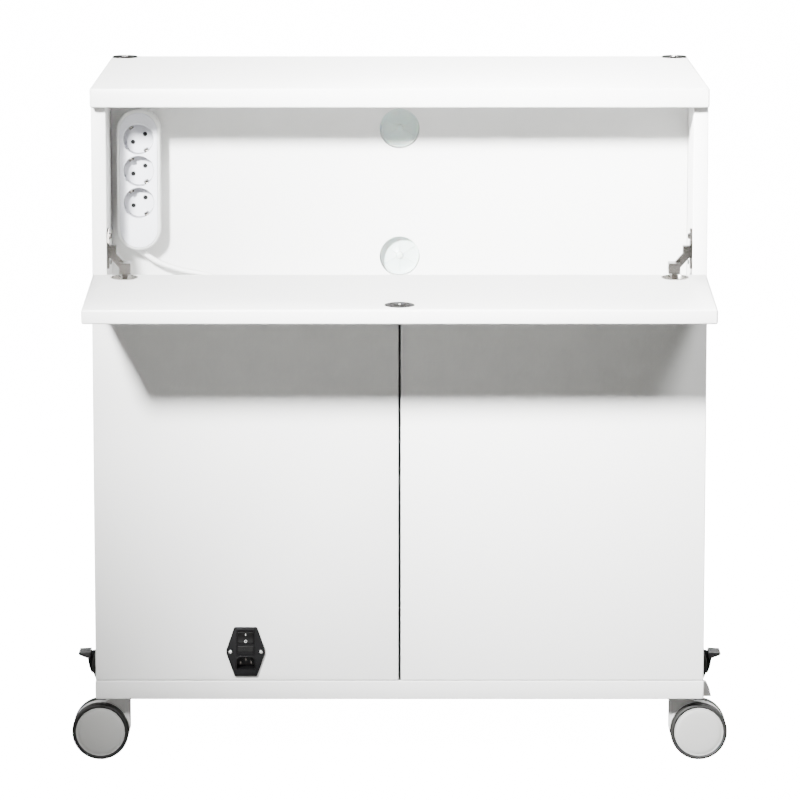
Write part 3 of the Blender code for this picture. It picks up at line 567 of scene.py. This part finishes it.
def add_flap_panel():
    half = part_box("flap_panel")[1].x
    low = (-half, FLAP_FACE - PANEL, -FLAP_EDGE_BELOW)
    high = (half, FLAP_FACE, FLAP_LENGTH - FLAP_EDGE_BELOW)
    cutters = [drill("Y", (0, 0, LOCK_Z), low[1] - PAST, high[1] + PAST, 0.0113),
               drill("Y", (0, 0, LOCK_Z), high[1] - 0.003, high[1] + PAST, 0.0195, 64)]
    for side, _ in SIDES:
        x = middle(f"flap_hinge_cup_{side}").x
        cutters.append(drill("Y", (x, 0, CUP_MIDDLE), high[1] - CUP_DEPTH, high[1] + PAST, CUP_BORE))
    thing = cuboid("flap_panel_melamine", low, high, BOARD)
    edge_band(thing, "Y", 0.0026)
    carve(thing, *cutters)
    shade(thing, BOARD_SHARP)
    give(on_flap(thing), "flap", "flap_panel")


# ---------------------------------------------------------------- fittings


def add_port_caps():
    for level in ("lower", "upper"):
        low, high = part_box(f"port_cap_{level}")
        place = ((low.x + high.x) / 2, low.y + 0.006, (low.z + high.z) / 2)
        cap = lathe(f"port_cap_{level}_moulding", "Y", place,
                    [(0, -5.4), (3.2, -5.3), (4.2, -4.6), (4.6, -2.6), (5.4, -2.0), (22.5, -2.0), (23.3, -2.3),
                     (24.2, -3.6), (25.4, -3.9), (26.0, -3.2), (26.1, 0), (30.6, 0), (31, 0.5), (31, 1.6), (30.5, 2),
                     (0, 2)], PORT, 96)
        give(cap, "root", f"port_cap_{level}")
        for turn in range(6):
            angle = math.radians(60 * turn + 30)
            rib = cuboid(f"port_cap_{level}_rib_{turn + 1}", (0.0046, -0.0029, -0.0005), (0.0228, -0.0015, 0.0005),
                         PORT)
            rib.matrix_world = Matrix.Translation(place) @ Matrix.Rotation(angle, 4, "Y")
            soften(rib, 0.0002, 2)
            give(rib, "root")


BOSS_RADIUS = 5.2


def add_corner_fittings():
    """A dark turned rim around a boss painted bright nickel as a highlight, let into the top."""
    for side, _ in SIDES:
        low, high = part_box(f"corner_fitting_{side}")
        centre = (low + high) / 2
        place = (centre.x, centre.y, high.z - 0.003)
        fitting = lathe(f"corner_fitting_{side}_turned", "Z", place,
                        [(0, 2.9), (3.6, 2.9), (4.5, 2.6), (4.9, 1.9), (5, -1.6), (5.6, -2.2), (12.6, -2.2),
                         (13.6, -1.7), (14.4, 1.1), (15.2, 2.1), (16.4, 2.2), (17.2, 1.8), (17.55, 1.0), (17.55, 0.3),
                         (12.2, 0.3), (12, 0), (12, -12), (0, -12)], GUNMETAL, 96)
        # Bright nickel on the boss's top faces: a painted highlight.
        fitting.data.materials.append(BRIGHT)
        for face in fitting.data.polygons:
            from_axis = math.hypot(face.center.x - centre.x, face.center.y - centre.y)
            if face.center.z > high.z - 0.0012 and from_axis < BOSS_RADIUS * MM:
                face.material_index = 1
        give(fitting, "root", f"corner_fitting_{side}")


def add_lock():
    """The case in the flap, and its rotor with a bright bar in its slot: a painted highlight."""
    face = FLAP_FACE / MM
    place = (0, 0, LOCK_Z)
    case = lathe("lock_case_turned", "Y", place,
                 [(0, face - 6), (8.25, face - 6), (8.3, face - 0.2), (8.7, face + 0.2), (11.5, face + 0.3),
                  (11.9, face - 0.3), (12.7, face - 0.3), (13.1, face + 0.3), (17.7, face + 0.35), (18.6, face + 0.1),
                  (19.15, face - 0.5), (19.2, face - 2.7), (11, face - 2.7), (11, -10.2), (10.4, -10.6), (0, -10.6)],
                 GUNMETAL, 96)
    keyway = cuboid("keyway", (-0.0008, -0.014, LOCK_Z - 0.004), (0.0008, -0.004, LOCK_Z + 0.004), BLACK)
    carve(case, keyway)
    shade(case)
    give(on_flap(case), "flap", "lock_case")
    rotor = lathe("lock_rotor_turned", "Y", place,
                  [(0, face - 5.6), (7.95, face - 5.6), (7.95, face + 0.4), (7.6, face + 0.9), (6.9, face + 1.15),
                   (0, face + 1.15)], GUNMETAL, 64)
    slot = cuboid("slot", (-0.0014, FLAP_FACE - 0.0004, LOCK_Z - 0.0058),
                  (0.0014, FLAP_FACE + 0.003, LOCK_Z + 0.0058), BLACK)
    carve(rotor, slot)
    shade(rotor)
    give(on_flap(rotor), "lock_rotor", "lock_rotor")
    # A bright nickel bar in the rotor's slot: a painted highlight of the key slot.
    slot_highlight = cuboid("lock_slot_painted_highlight", (-0.0013, FLAP_FACE - 0.0003, LOCK_Z - 0.0057),
                     (0.0013, FLAP_FACE + 0.001, LOCK_Z + 0.0057), BRIGHT)
    soften(slot_highlight, 0.0003, 2)
    give(on_flap(slot_highlight), "lock_rotor")


# ---------------------------------------------------------------- hinges


def hinge_place(node):
    """Where a hinge's pivot is, and how it is turned: x along the pin, y towards the front's inner face and z away
    from its hinged edge."""
    if node.startswith("flap"):
        return Matrix.Translation((middle(node).x, FLAP_PIVOT.y, FLAP_PIVOT.z)) @ Matrix.Rotation(FLAP_OPEN, 4, "X")
    side = 1 if "right" in node else -1
    pivot = Vector(JOINTS["door_right_hinge" if side > 0 else "door_left_hinge"]["pos_m"])
    return Matrix.Translation((pivot.x, pivot.y, middle(node).z)) @ Matrix.Rotation(-side * math.pi / 2, 4, "Y")


def add_cup(node):
    body = BODY_OF[node]
    place = hinge_place(node)
    cup = lathe(f"{node}_pressing", "Y", (0, 0, CUP_MIDDLE),
                [(0, -2.3), (15.4, -2.3), (16.2, -1.6), (16.2, 8.8), (16.6, 9.7), (17.6, 9.85), (18, 9.6), (18, 9.2),
                 (17.2, 9.15), (17.2, -3.1), (16.8, -3.2), (0, -3.2)], BRIGHT, 72)
    cup.matrix_world = place
    give(cup, body, node)
    pin = lathe(f"{node}_pin", "X", (0, 0, 0), [(0, -9.2), (0.95, -9.2), (0.95, 9.2), (0, 9.2)], STEEL, 16)
    pin.matrix_world = place
    give(pin, body)
    for label, side in (("a", -1), ("b", 1)):
        screw = screw_head(f"{node}_screw_{label}", "Y", (side * 0.0166, 0.0097, CUP_MIDDLE), 1, 1.3, 0.8,
                           DARK_NICKEL)
        screw.matrix_world = place @ screw.matrix_world
        give(screw, body)


def add_hinges():
    for side, way in SIDES:
        add_cup(f"flap_hinge_cup_{side}")
        arm = f"flap_hinge_arm_{side}"
        finish_node(arm, DARK_NICKEL, 0.0006)
        low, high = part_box(arm)
        wall = high.x if way > 0 else low.x
        for label, z in (("upper", high.z - 0.010), ("lower", high.z - 0.044)):
            give(screw_head(f"{arm}_screw_{label}", "X", (wall - way * 0.0044, high.y - 0.0095, z), -way, 3.4, 1.2,
                            GUNMETAL), "root")
        add_arm_details(arm, way, low, high)
        for level in ("lower", "upper"):
            add_cup(f"door_hinge_cup_{side}_{level}")
            arm = f"door_hinge_arm_{side}_{level}"
            finish_node(arm, DARK_NICKEL, 0.0006)
            low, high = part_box(arm)
            inner, wall = (low.x, high.x) if way > 0 else (high.x, low.x)
            for number, y in enumerate((high.y - 0.008, high.y - 0.022)):
                give(screw_head(f"{arm}_adjuster_{number + 1}", "X", (inner, y, (low.z + high.z) / 2), -way, 3.0, 0.9),
                     "root")
            for label, z in (("low", low.z + 0.008), ("high", high.z - 0.008)):
                give(screw_head(f"{arm}_plate_screw_{label}", "X", (wall - way * 0.0035, low.y + 0.045, z), -way, 3.2,
                                1.1), "root")


def add_arm_details(arm, way, low, high):
    """Rivets and a stamped rib on the flap's fixed arm."""
    inner = low.x if way > 0 else high.x
    head_x = inner + way * 0.0075
    rivet = lathe(f"{arm}_rivet", "X", (inner, FLAP_PIVOT.y + 0.008, FLAP_PIVOT.z + 0.0185),
                  [(0, -way * 1.0), (1.6, -way * 0.9), (2.3, -way * 0.3), (2.4, way * 0.3), (0, way * 0.3)], STEEL, 24)
    give(rivet, "root")
    for number, offset in enumerate((-0.0035, 0, 0.0035)):
        rib = cuboid(f"{arm}_rib_{number + 1}",
                     (head_x + offset - 0.0006, FLAP_PIVOT.y - 0.0019, FLAP_PIVOT.z + 0.0125),
                     (head_x + offset + 0.0006, FLAP_PIVOT.y - 0.0012, FLAP_PIVOT.z + 0.0235), NICKEL)
        soften(rib, 0.0002, 2)
        give(rib, "root")


# ---------------------------------------------------------------- socket strip


SOCKET_DROPS = (38.5, 80.5, 122.5)  # below the strip's top
WELL_DEPTH = 18.3
WELL_RADIUS = 19.7
SOCKET_TILT = math.radians(33.5)
PIN_SPACING = 19.0
STRIP_TALL = 185.7


def stadium(half_width, half_height):
    """An upright outline with half-round ends."""
    straight = half_height - half_width
    return arc((0, straight), half_width, 0, 180, 24) + arc((0, -straight), half_width, 180, 360, 24)


def tilted(thing, centre, angle):
    """Turns a piece that was drawn about a socket's centre to the socket's tilt."""
    thing.matrix_world = Matrix.Translation(centre) @ Matrix.Rotation(angle, 4, "Y")
    bpy.context.view_layer.update()
    return thing


def along_pins(way):
    """From a socket's middle to one of its two pins: way is -1 or 1."""
    return Vector((math.cos(SOCKET_TILT), 0, math.sin(SOCKET_TILT))) * way * PIN_SPACING / 2 * MM


def add_strip():
    """The strip's tub, its cover with three sockets let in, and the lead's gland."""
    low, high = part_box("strip_base")
    x, front = (low.x + high.x) / 2, low.y
    deep = (high.y - low.y) / MM
    half = (high.x - low.x) / 2 / MM
    place = Vector((x, front, high.z - STRIP_TALL / 2 * MM))
    tub = prism("strip_housing", "XZ", stadium(half, STRIP_TALL / 2), 0, deep, WHITE, place)
    soften(tub, 0.006, 6, 60)
    cavity = prism("cavity", "XZ", stadium(half - 3.5, STRIP_TALL / 2 - 3.5), -2, deep - 3, WHITE, place)
    carve(tub, cavity)
    shade(tub)
    give(tub, "root", "strip_base")
    seam = prism("strip_seam", "XZ", stadium(half + 0.02, STRIP_TALL / 2 + 0.02), 27.2, 27.6, GREY, place)
    give(seam, "root")

    plate = prism("strip_cover_moulding", "XZ", stadium(half - 3.8, STRIP_TALL / 2 - 3.8), 0.6, 4, SOCKET_WHITE, place)
    soften(plate, 0.0009, 3)
    sockets = [place + Vector((0, 0, (STRIP_TALL / 2 - drop) * MM)) for drop in SOCKET_DROPS]
    wells = [lathe("well", "Y", centre, [(0, 2), (20.9, 2), (20.9, 21), (0, 21)], SOCKET_WHITE, 64)
             for centre in sockets]
    carve(plate, *wells, operation="UNION")
    bores = [lathe("bore", "Y", centre, [(0, -5), (21.4, -5), (20.9, 0.3), (19.8, 1.6), (19.5, 3), (19.3, WELL_DEPTH),
                                         (0, WELL_DEPTH)], SOCKET_WHITE, 96) for centre in sockets]
    carve(plate, *bores)
    holes = []
    for centre in sockets:
        for way in (-1, 1):
            holes.append(lathe("hole", "Y", centre + along_pins(way),
                               [(0, 10), (3.3, 10), (3.3, 18.5), (3, 18.9), (3, 20.4), (0, 20.4)], SOCKET_WHITE, 32))
            guide = cuboid("guide", (-0.0028, 0.0005, 0.0188), (0.0028, 0.0162, 0.0208), SOCKET_WHITE)
            holes.append(tilted(guide, centre, way * math.pi / 2 - SOCKET_TILT))
    carve(plate, *holes)
    shade(plate)
    # Paints the wells' side walls dark grey: painted shade inside the sockets.
    plate.data.materials.append(WELL_PAINTED_SHADE)
    for face in plate.data.polygons:
        inside = any(math.hypot(face.center.x - socket.x, face.center.z - socket.z) < WELL_RADIUS * MM
                     for socket in sockets)
        if inside and abs(face.normal.y) < 0.3 and face.center.y < front + WELL_DEPTH * MM:
            face.material_index = 1
    give(plate, "root", "strip_cover")
    for number, centre in enumerate(sockets):
        add_socket_clips_and_hole_shade(number + 1, centre)

    start, following = at(*LEAD_ROUTE[0]), at(*LEAD_ROUTE[1])
    gland = lathe("strip_gland", "Z", (0, 0, 0),
                  [(0, 6), (6, 6), (6, -3.6), (5.4, -4.2), (5.4, -5.4), (4.9, -5.8), (4.9, -7), (4.4, -7.5),
                   (4.4, -9), (0, -9)], WHITE, 48)
    gland.matrix_world = Matrix.Translation(start) @ (start - following).to_track_quat("Z", "Y").to_matrix().to_4x4()
    bpy.context.view_layer.update()
    give(gland, "root")


def add_socket_clips_and_hole_shade(number, centre):
    """The two earthing clips on the socket's wall, and black discs in its pin holes: painted shade, so the holes read
    dark.
    """
    for label, way, turn in (("a", 1, 0), ("b", -1, math.pi)):
        clip = prism(f"socket_{number}_clip_{label}", "YZ",
                     [(2.2, 19.2), (2.0, 18.6), (3.2, 17.2), (5.5, 16.3), (12, 15.9), (16.5, 16.6), (18.0, 18.0),
                      (18.0, 17.4), (16.6, 15.9), (12, 15.2), (5.2, 15.6), (2.6, 16.6), (1.2, 18.6), (1.2, 19.4)],
                     -2.6, 2.6, DARK_NICKEL)
        soften(clip, 0.00015, 2)
        give(tilted(clip, centre, turn - SOCKET_TILT), "root")
        # A black disc in each pin hole: painted shade for the hole's dark.
        dark = lathe(f"socket_{number}_contact_{label}", "Y", centre + along_pins(way),
                     [(0, 19.3), (1.5, 19.2), (2.8, 19.0), (2.95, 20.3), (0, 20.3)], BLACK_MATT, 24)
        give(dark, "root")


# ---------------------------------------------------------------- lead


LEAD_RADIUS = 0.0035
LEAD_ROUTE = (
    (-343, 121, 668), (-335, 121, 659.5), (-323, 121, 651.5), (-307, 121, 644.5), (-288, 120.5, 639),
    (-267, 120, 635), (-250, 119.5, 631), (-239, 119, 622), (-233, 118, 608), (-231, 117, 590), (-237, 114, 565),
    (-256, 107, 540), (-292, 95, 513), (-330, 79, 485), (-356, 64, 458), (-366, 53, 430),
    (-366, 42, 402), (-358, 33, 376), (-340, 28.5, 350), (-312, 27.5, 322),
    (-280, 27.5, 294), (-248, 27.5, 264), (-221, 27.5, 230), (-206, 27.5, 204), (-202, 27.5, 190),
    (-202, 27.5, 178.8),
)
DOOR_CLIPS = (19, 22)  # the route's points at the clips on the door


def smooth_route(points):
    """The Catmull-Rom curve through the route's points."""
    steps = 6
    knots = [2 * points[0] - points[1], *points, 2 * points[-1] - points[-2]]
    route = [knots[1]]
    for before, start, end, after in zip(knots, knots[1:], knots[2:], knots[3:]):
        for i in range(1, steps + 1):
            t = i / steps
            route.append(0.5 * (2 * start + (end - before) * t + (2 * before - 5 * start + 4 * end - after) * t**2
                                + (3 * start - before - 3 * end + after) * t**3))
    return route


def tube(name, points, radius, material):
    """A round tube with closed ends along the points, as a mesh."""
    curve = bpy.data.curves.new(name, "CURVE")
    curve.dimensions = "3D"
    curve.bevel_depth = radius
    curve.bevel_resolution = 5
    curve.use_fill_caps = True
    curve.materials.append(material)
    line = curve.splines.new("POLY")
    line.points.add(len(points) - 1)
    for point, place in zip(line.points, points):
        point.co = (*place, 1)
    thing = bpy.data.objects.new(name, curve)
    bpy.context.scene.collection.objects.link(thing)
    graph = bpy.context.evaluated_depsgraph_get()
    mesh = bpy.data.meshes.new_from_object(thing.evaluated_get(graph))
    bpy.data.objects.remove(thing)
    thing = bpy.data.objects.new(name, mesh)
    bpy.context.scene.collection.objects.link(thing)
    shape = bmesh.new()
    shape.from_mesh(mesh)
    bmesh.ops.remove_doubles(shape, verts=shape.verts, dist=1e-6)
    shape.to_mesh(mesh)
    shape.free()
    return shade(thing, 60)


def add_lead():
    """The lead from the strip's gland to the inlet's box, and the two clips that hold it on the door."""
    knots = [at(*point) for point in LEAD_ROUTE]
    lead = tube("mains_lead", smooth_route(knots), LEAD_RADIUS, SHEATH)
    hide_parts("lead_fixed", "lead_door")
    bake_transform(lead)
    door_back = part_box("door_left")[1].y
    for number, index in enumerate(DOOR_CLIPS):
        along = (knots[index + 1] - knots[index - 1]).normalized()
        centre = knots[index]
        rise = (centre.y - door_back) / MM
        saddle = arc((0, 0), 4.6, 0, 180, 12) + [(-4.6, -rise + 1.4), (-12, -rise + 1.4), (-12, -rise),
                                                 (12, -rise), (12, -rise + 1.4), (4.6, -rise + 1.4)]
        clip = prism(f"lead_clip_{number + 1}", "XZ", saddle, -4, 4, WHITE)
        soften(clip, 0.0004, 2)
        bore = lathe("bore", "Y", (0, 0, 0), [(0, -9), (3.7, -9), (3.7, 9), (0, 9)], WHITE, 32)
        carve(clip, bore)
        across = along.cross(Vector((0, 1, 0))).normalized()
        frame_of_clip = Matrix((across, along, Vector((0, 1, 0)))).transposed().to_4x4()
        clip.matrix_world = Matrix.Translation(centre) @ frame_of_clip
        bpy.context.view_layer.update()
        shade(clip)
        give(clip, "door_left")


# ---------------------------------------------------------------- mains inlet


def add_inlet():
    """The inlet's frame and box as one moulding, with its pins and screws, the rocker and the fuse drawer."""
    screws = [middle(f"inlet_screw_{side}") for side in ("left", "right")]
    centre = (screws[0] + screws[1]) / 2
    place = Vector((centre.x, FRONT_Y, centre.z))
    rocker_z, drawer_z, socket_z = 19.5, 3.5, -14.5
    outline = [(-14.8, 32.9), (-25.3, 2.8), (-25.3, -2.8), (-14.8, -32.9), (14.8, -32.9), (25.3, -2.8), (25.3, 2.8),
               (14.8, 32.9)]
    body = prism("inlet_moulding", "XZ", outline, -4, -0.3, BLACK, place)
    soften(body, 0.0013, 4, 20)
    box = prism("box", "XZ", rounded(14, 29, 1.5), -1.5, 36, BLACK, place)
    neck = prism("neck", "XZ", rounded(7, 2.9, 1, centre=(0, 26)), 20.5, 34.5, BLACK, place)
    hexagon = [(-12, socket_z - 8), (12, socket_z - 8), (12, socket_z + 4), (8, socket_z + 8), (-8, socket_z + 8),
               (-12, socket_z + 4)]
    collar = [(u * 1.12, socket_z + (v - socket_z) * 1.15) for u, v in hexagon]
    ring = prism("ring", "XZ", collar, -4.7, -3, BLACK, place)
    soften(ring, 0.0005, 3, 20)
    frame_plate = prism("frame", "XZ", rounded(12.3, 17.8, 1.6, centre=(0, 13.1)), -4.6, -3, BLACK, place)
    soften(frame_plate, 0.0005, 3, 20)
    carve(body, box, neck, ring, frame_plate, operation="UNION")
    wells = [
        prism("well", "XZ", rounded(10.8, 9.2, 1, centre=(0, rocker_z)), -9, 9, BLACK, place),
        prism("well", "XZ", rounded(10.8, 4.8, 0.6, centre=(0, drawer_z)), -9, 24, BLACK, place),
        prism("well", "XZ", hexagon, -9, 16, BLACK, place),
    ]
    for side in (-1, 1):
        wells.append(lathe("sink", "Y", place + Vector((side * 0.020, 0, 0)),
                           [(0, -9), (4.3, -9), (4.3, -4.6), (3.4, -3.4), (1.9, -3.3), (1.9, 5), (0, 5)], BLACK, 32))
    carve(body, *wells)
    shade(body)
    give(body, "door_left", "inlet_body")
    for number, (x, z) in enumerate(((-7, -1.5), (7, -1.5), (0, 2.8))):
        pin = prism(f"inlet_pin_{number + 1}", "XZ", rounded(1, 2, 0.3, 3, (x, socket_z + z)), 3, 16.5, DARK_NICKEL,
                    place)
        soften(pin, 0.0006, 3)
        give(pin, "door_left")
    for side, spot in zip(("left", "right"), screws):
        screw = screw_head(f"inlet_screw_{side}_turned", "Y", (spot.x, FRONT_Y - 0.0037, spot.z), -1, 3.0, 1.6)
        give(screw, "door_left", f"inlet_screw_{side}")
    add_rocker(place + Vector((0, 0, rocker_z * MM)))
    add_drawer(place + Vector((0, 0, drawer_z * MM)))


def add_rocker(place):
    tilt = math.radians(JOINTS["inlet_switch"]["range_deg"][1] / 2)
    turn = Matrix.Translation(place) @ Matrix.Rotation(tilt, 4, "X")
    dish = [(-5.5, 8.2), (-5.0, 5.4), (-4.55, 2.6), (-4.4, 0), (-4.55, -2.6), (-5.0, -5.4), (-5.5, -8.2), (4, -8.2),
            (4, 8.2)]
    rocker = prism("inlet_rocker_moulding", "YZ", dish, -10.4, 10.4, BLACK_MATT)
    soften(rocker, 0.0006, 3, 50)
    rocker.matrix_world = turn
    give(rocker, "inlet_rocker", "inlet_rocker")
    bar = prism("switch_mark_on", "XZ", rounded(0.35, 1.7, 0.3, 4, (0, 4.7)), -5.3, -5.0, PRINT)
    ring = lathe("switch_mark_off", "Y", (0, 0, -0.0046),
                 [(1.25, -5.3), (1.85, -5.3), (1.85, -4.9), (1.25, -4.9)], PRINT, 40)
    for mark in (bar, ring):
        mark.matrix_world = turn @ mark.matrix_world
        bpy.context.view_layer.update()
        give(mark, "inlet_rocker")


def add_drawer(place):
    drawer = prism("fuse_drawer_moulding", "XZ", rounded(10.5, 4.5, 0.6), -5.2, 23, BLACK_MATT, place)
    soften(drawer, 0.0005, 3)
    notch = prism("notch", "XZ", rounded(6, 1.5, 0.5, centre=(0, -4.5)), -7, -4.2, BLACK_MATT, place)
    grip = [prism("grip", "XZ", rounded(0.35, 2.0, 0.3, 3, (x, 0.8)), -7, -4.9, BLACK_MATT, place)
            for x in (-3.2, -1.6, 0, 1.6, 3.2)]
    carve(drawer, notch, *grip)
    shade(drawer)
    give(drawer, "fuse_drawer", "fuse_drawer")


# ---------------------------------------------------------------- castors


WHEEL_RADIUS = 37.5
TRAIL = 27.0
HOOD_HALF = 8.0
PEDAL_PIVOT = (50.0, 52.0)  # outwards from the stem, and up


def add_castor(name):
    """A castor that trails outwards; place names start with front or rear."""
    side = 1 if name.endswith("right") else -1
    front = middle(f"castor_wheel_{name}_front")
    rear = middle(f"castor_wheel_{name}_rear")
    stem_x, stem_y = front.x - side * TRAIL * MM, (front.y + rear.y) / 2
    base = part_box("bottom_board")[0].z / MM
    add_stem(name, (stem_x, stem_y, 0), base)
    hood_line = ([(-12, 38), (-12, 76), (-11, 79.5), (-8, 81), (10, 81)]
                 + arc((TRAIL, WHEEL_RADIUS), WHEEL_RADIUS - 0.8, 97, 24, 20)
                 + [(49.5, 46), (44, 38), (TRAIL + 10, 33), (TRAIL + 4, 28.5), (TRAIL - 5, 28), (8, 32)])
    hood = prism(f"castor_hood_{name}_moulding", "XZ", outward(side, hood_line), -HOOD_HALF, HOOD_HALF, HOOD,
                 (stem_x, stem_y, 0))
    soften(hood, 0.0014, 4, 30)
    cutters = [drill("Z", (stem_x, stem_y, 0), 0.052, 0.09, 0.0052)]
    braked = name.startswith("rear")
    if braked:
        slot = outward(side, [(PEDAL_PIVOT[0] - 6, 20), (90, 20), (90, 90), (PEDAL_PIVOT[0] - 6, 90)])
        cutters.append(prism("slot", "XZ", slot, -3.5, 3.5, HUB, (stem_x, stem_y, 0)))
    carve(hood, *cutters)
    shade(hood)
    body = f"swivel_{name}"
    give(hood, body, f"castor_hood_{name}")
    axle = lathe(f"castor_axle_{name}", "Y", (front.x, stem_y, front.z),
                 [(0, -24), (3.6, -24), (4, -23.6), (4, 23.6), (3.6, 24), (0, 24)], STEEL, 32)
    give(axle, body)
    for label, centre, way in (("front", front, -1), ("rear", rear, 1)):
        add_wheel(f"{name}_{label}", (centre.x, stem_y, centre.z), way)
    if braked:
        add_pedal(name, side, (stem_x + side * PEDAL_PIVOT[0] * MM, stem_y, PEDAL_PIVOT[1] * MM), body)


def add_stem(name, place, base):
    """A stem with its washers, up into the bottom board. The one with the lug is the CAD's own."""
    node = f"castor_stem_{name}"
    if name == "front_right":
        finish_node(node, GREY, 0.0008)
        return
    stem = lathe(f"{node}_turned", "Z", place,
                 [(0, 52.5), (4.4, 52.5), (5, 53.2), (5, 81.2), (8.6, 81.2), (9, 81.6), (12.4, 81.6), (13, 82.2),
                  (13, base - 0.7), (12.6, base - 0.35), (5, base - 0.35), (5, base + 17.5), (0, base + 17.5)], STEEL)
    give(stem, "root", node)


def add_wheel(name, place, way):
    tyre_line = [(32.4, 9.2), (33.4, 8.6), (35.4, 8.6), (36.8, 9.7), (37.4, 11.6), (37.5, 14), (37.5, 20.6),
                 (37.35, 22.9), (36.8, 24.6), (35.7, 25.5), (34.2, 25.7), (33.2, 25.1), (32.4, 24.6)]
    tyre = lathe(f"castor_tyre_{name}", "Y", place, [(r, way * along) for r, along in tyre_line], TYRE, 96)
    give(tyre, f"wheel_{name}", f"castor_wheel_{name}")
    hub_line = [(0, 26), (9, 25.97), (18, 25.8), (25, 25.45), (29.4, 24.95), (30.3, 24.5), (31.2, 24.75), (32, 24.7),
                (32.4, 24.2), (32.4, 9.4), (31.6, 8.9), (29.6, 8.9), (28.6, 9.6), (27.6, 11.4), (13, 11.4),
                (12, 9.8), (10.6, 8.8), (4.25, 8.8), (4.25, 24.2), (0, 24.2)]
    hub = lathe(f"castor_hub_{name}", "Y", place, [(r, way * along) for r, along in hub_line], HUB, 96, angle=30)
    give(hub, f"wheel_{name}")


def add_pedal(name, side, place, hood_body):
    """The brake's pedal: a tongue in the hood and a curved pad across both wheels."""
    body = f"pedal_{name}"
    tongue_line = arc((0, 0), 4.8, 90, 270, 12) + [(6.5, -8), (9, -18), (11.5, -27), (13, -29.5), (15.5, -29.5),
                                                   (17, -28), (20, -20), (22, -8.5), (22, 2)]
    tongue = prism(f"brake_pedal_{name}_tongue", "XZ", outward(side, tongue_line), -3, 3, BLACK_MATT, place)
    carve(tongue, drill("Y", place, -1, 1, 0.0022))
    soften(tongue, 0.0005, 2, 40)
    give(tongue, body, f"brake_pedal_{name}")
    pad_line = [(17.4, -6.4), (21, -5.4), (28, -2.8), (32.6, -1), (34, 0.6), (33.8, 2), (33, 2.7), (28, 2.8),
                (17, 3.3)]
    pad = prism(f"brake_pedal_{name}_pad", "XZ", outward(side, pad_line), -17.5, 17.5, PEDAL, place)
    soften(pad, 0.0007, 3, 30)
    ribs = [cuboid("rib", Vector(place) + Vector(((side * u - 0.5) * MM, -0.0155, 0.0022)),
                   Vector(place) + Vector(((side * u + 0.5) * MM, 0.0155, 0.006)), PEDAL)
            for u in (20, 23, 26, 29)]
    carve(pad, *ribs)
    shade(pad)
    give(pad, body)
    pin = lathe(f"brake_pin_{name}", "Y", place, [(0, -7.9), (1.7, -7.9), (2, -7.6), (2, 7.6), (1.7, 7.9), (0, 7.9)],
                STEEL, 24)
    give(pin, hood_body)


# ---------------------------------------------------------------- small fittings


def add_latches():
    for side, _ in SIDES:
        finish_node(f"touch_latch_{side}", GREY, 0.0007)
        finish_node(f"latch_plunger_{side}", WHITE, 0.0005)
        low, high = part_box(f"touch_latch_{side}")
        for label, y in (("front", low.y + 0.012), ("rear", high.y - 0.010)):
            give(screw_head(f"touch_latch_{side}_screw_{label}", "Z", ((low.x + high.x) / 2, y, low.z), -1, 2.6, 0.9),
                 "root")


def add_shelf_pins():
    low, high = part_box("shelf")
    for side, x, way in (("left", low.x, 1), ("right", high.x, -1)):
        for label, y in (("front", low.y + 0.040), ("rear", high.y - 0.040)):
            pin = lathe(f"shelf_pin_{side}_{label}", "X", (x, y, low.z - 0.0028),
                        [(0, -way * 0.2), (4, -way * 0.2), (4, way * 0.8), (3.7, way * 1), (2.5, way * 1.2),
                         (2.5, way * 8.6), (2.1, way * 9), (0, way * 9)], NICKEL, 32)
            give(pin, "root")


def add_rear_screws():
    """White caps over the rear panel's screws."""
    low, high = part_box("rear_panel")
    inset, columns, rows = 0.012, 3, 3
    spots = [(low.x + inset + (high.x - low.x - 2 * inset) * i / columns, z)
             for i in range(columns + 1) for z in (low.z + inset, high.z - inset)]
    spots += [(x, low.z + (high.z - low.z) * (j + 1) / (rows + 1))
              for j in range(rows) for x in (low.x + inset, high.x - inset)]
    for number, (x, z) in enumerate(spots):
        cap = lathe(f"rear_screw_cap_{number + 1}", "Y", (x, high.y, z),
                    [(0, 0.9), (2.4, 0.85), (4.6, 0.5), (5.5, 0), (5.2, -0.6), (0, -0.6)], WHITE, 32)
        give(cap, "root")


add_camera()
add_world(0.2, 0.11)
add_backdrop()
add_lights()
add_boards()
add_port_caps()
add_corner_fittings()
add_lock()
add_hinges()
add_strip()
add_lead()
add_inlet()
for castor in CASTORS:
    add_castor(castor)
add_latches()
add_shelf_pins()
add_rear_screws()
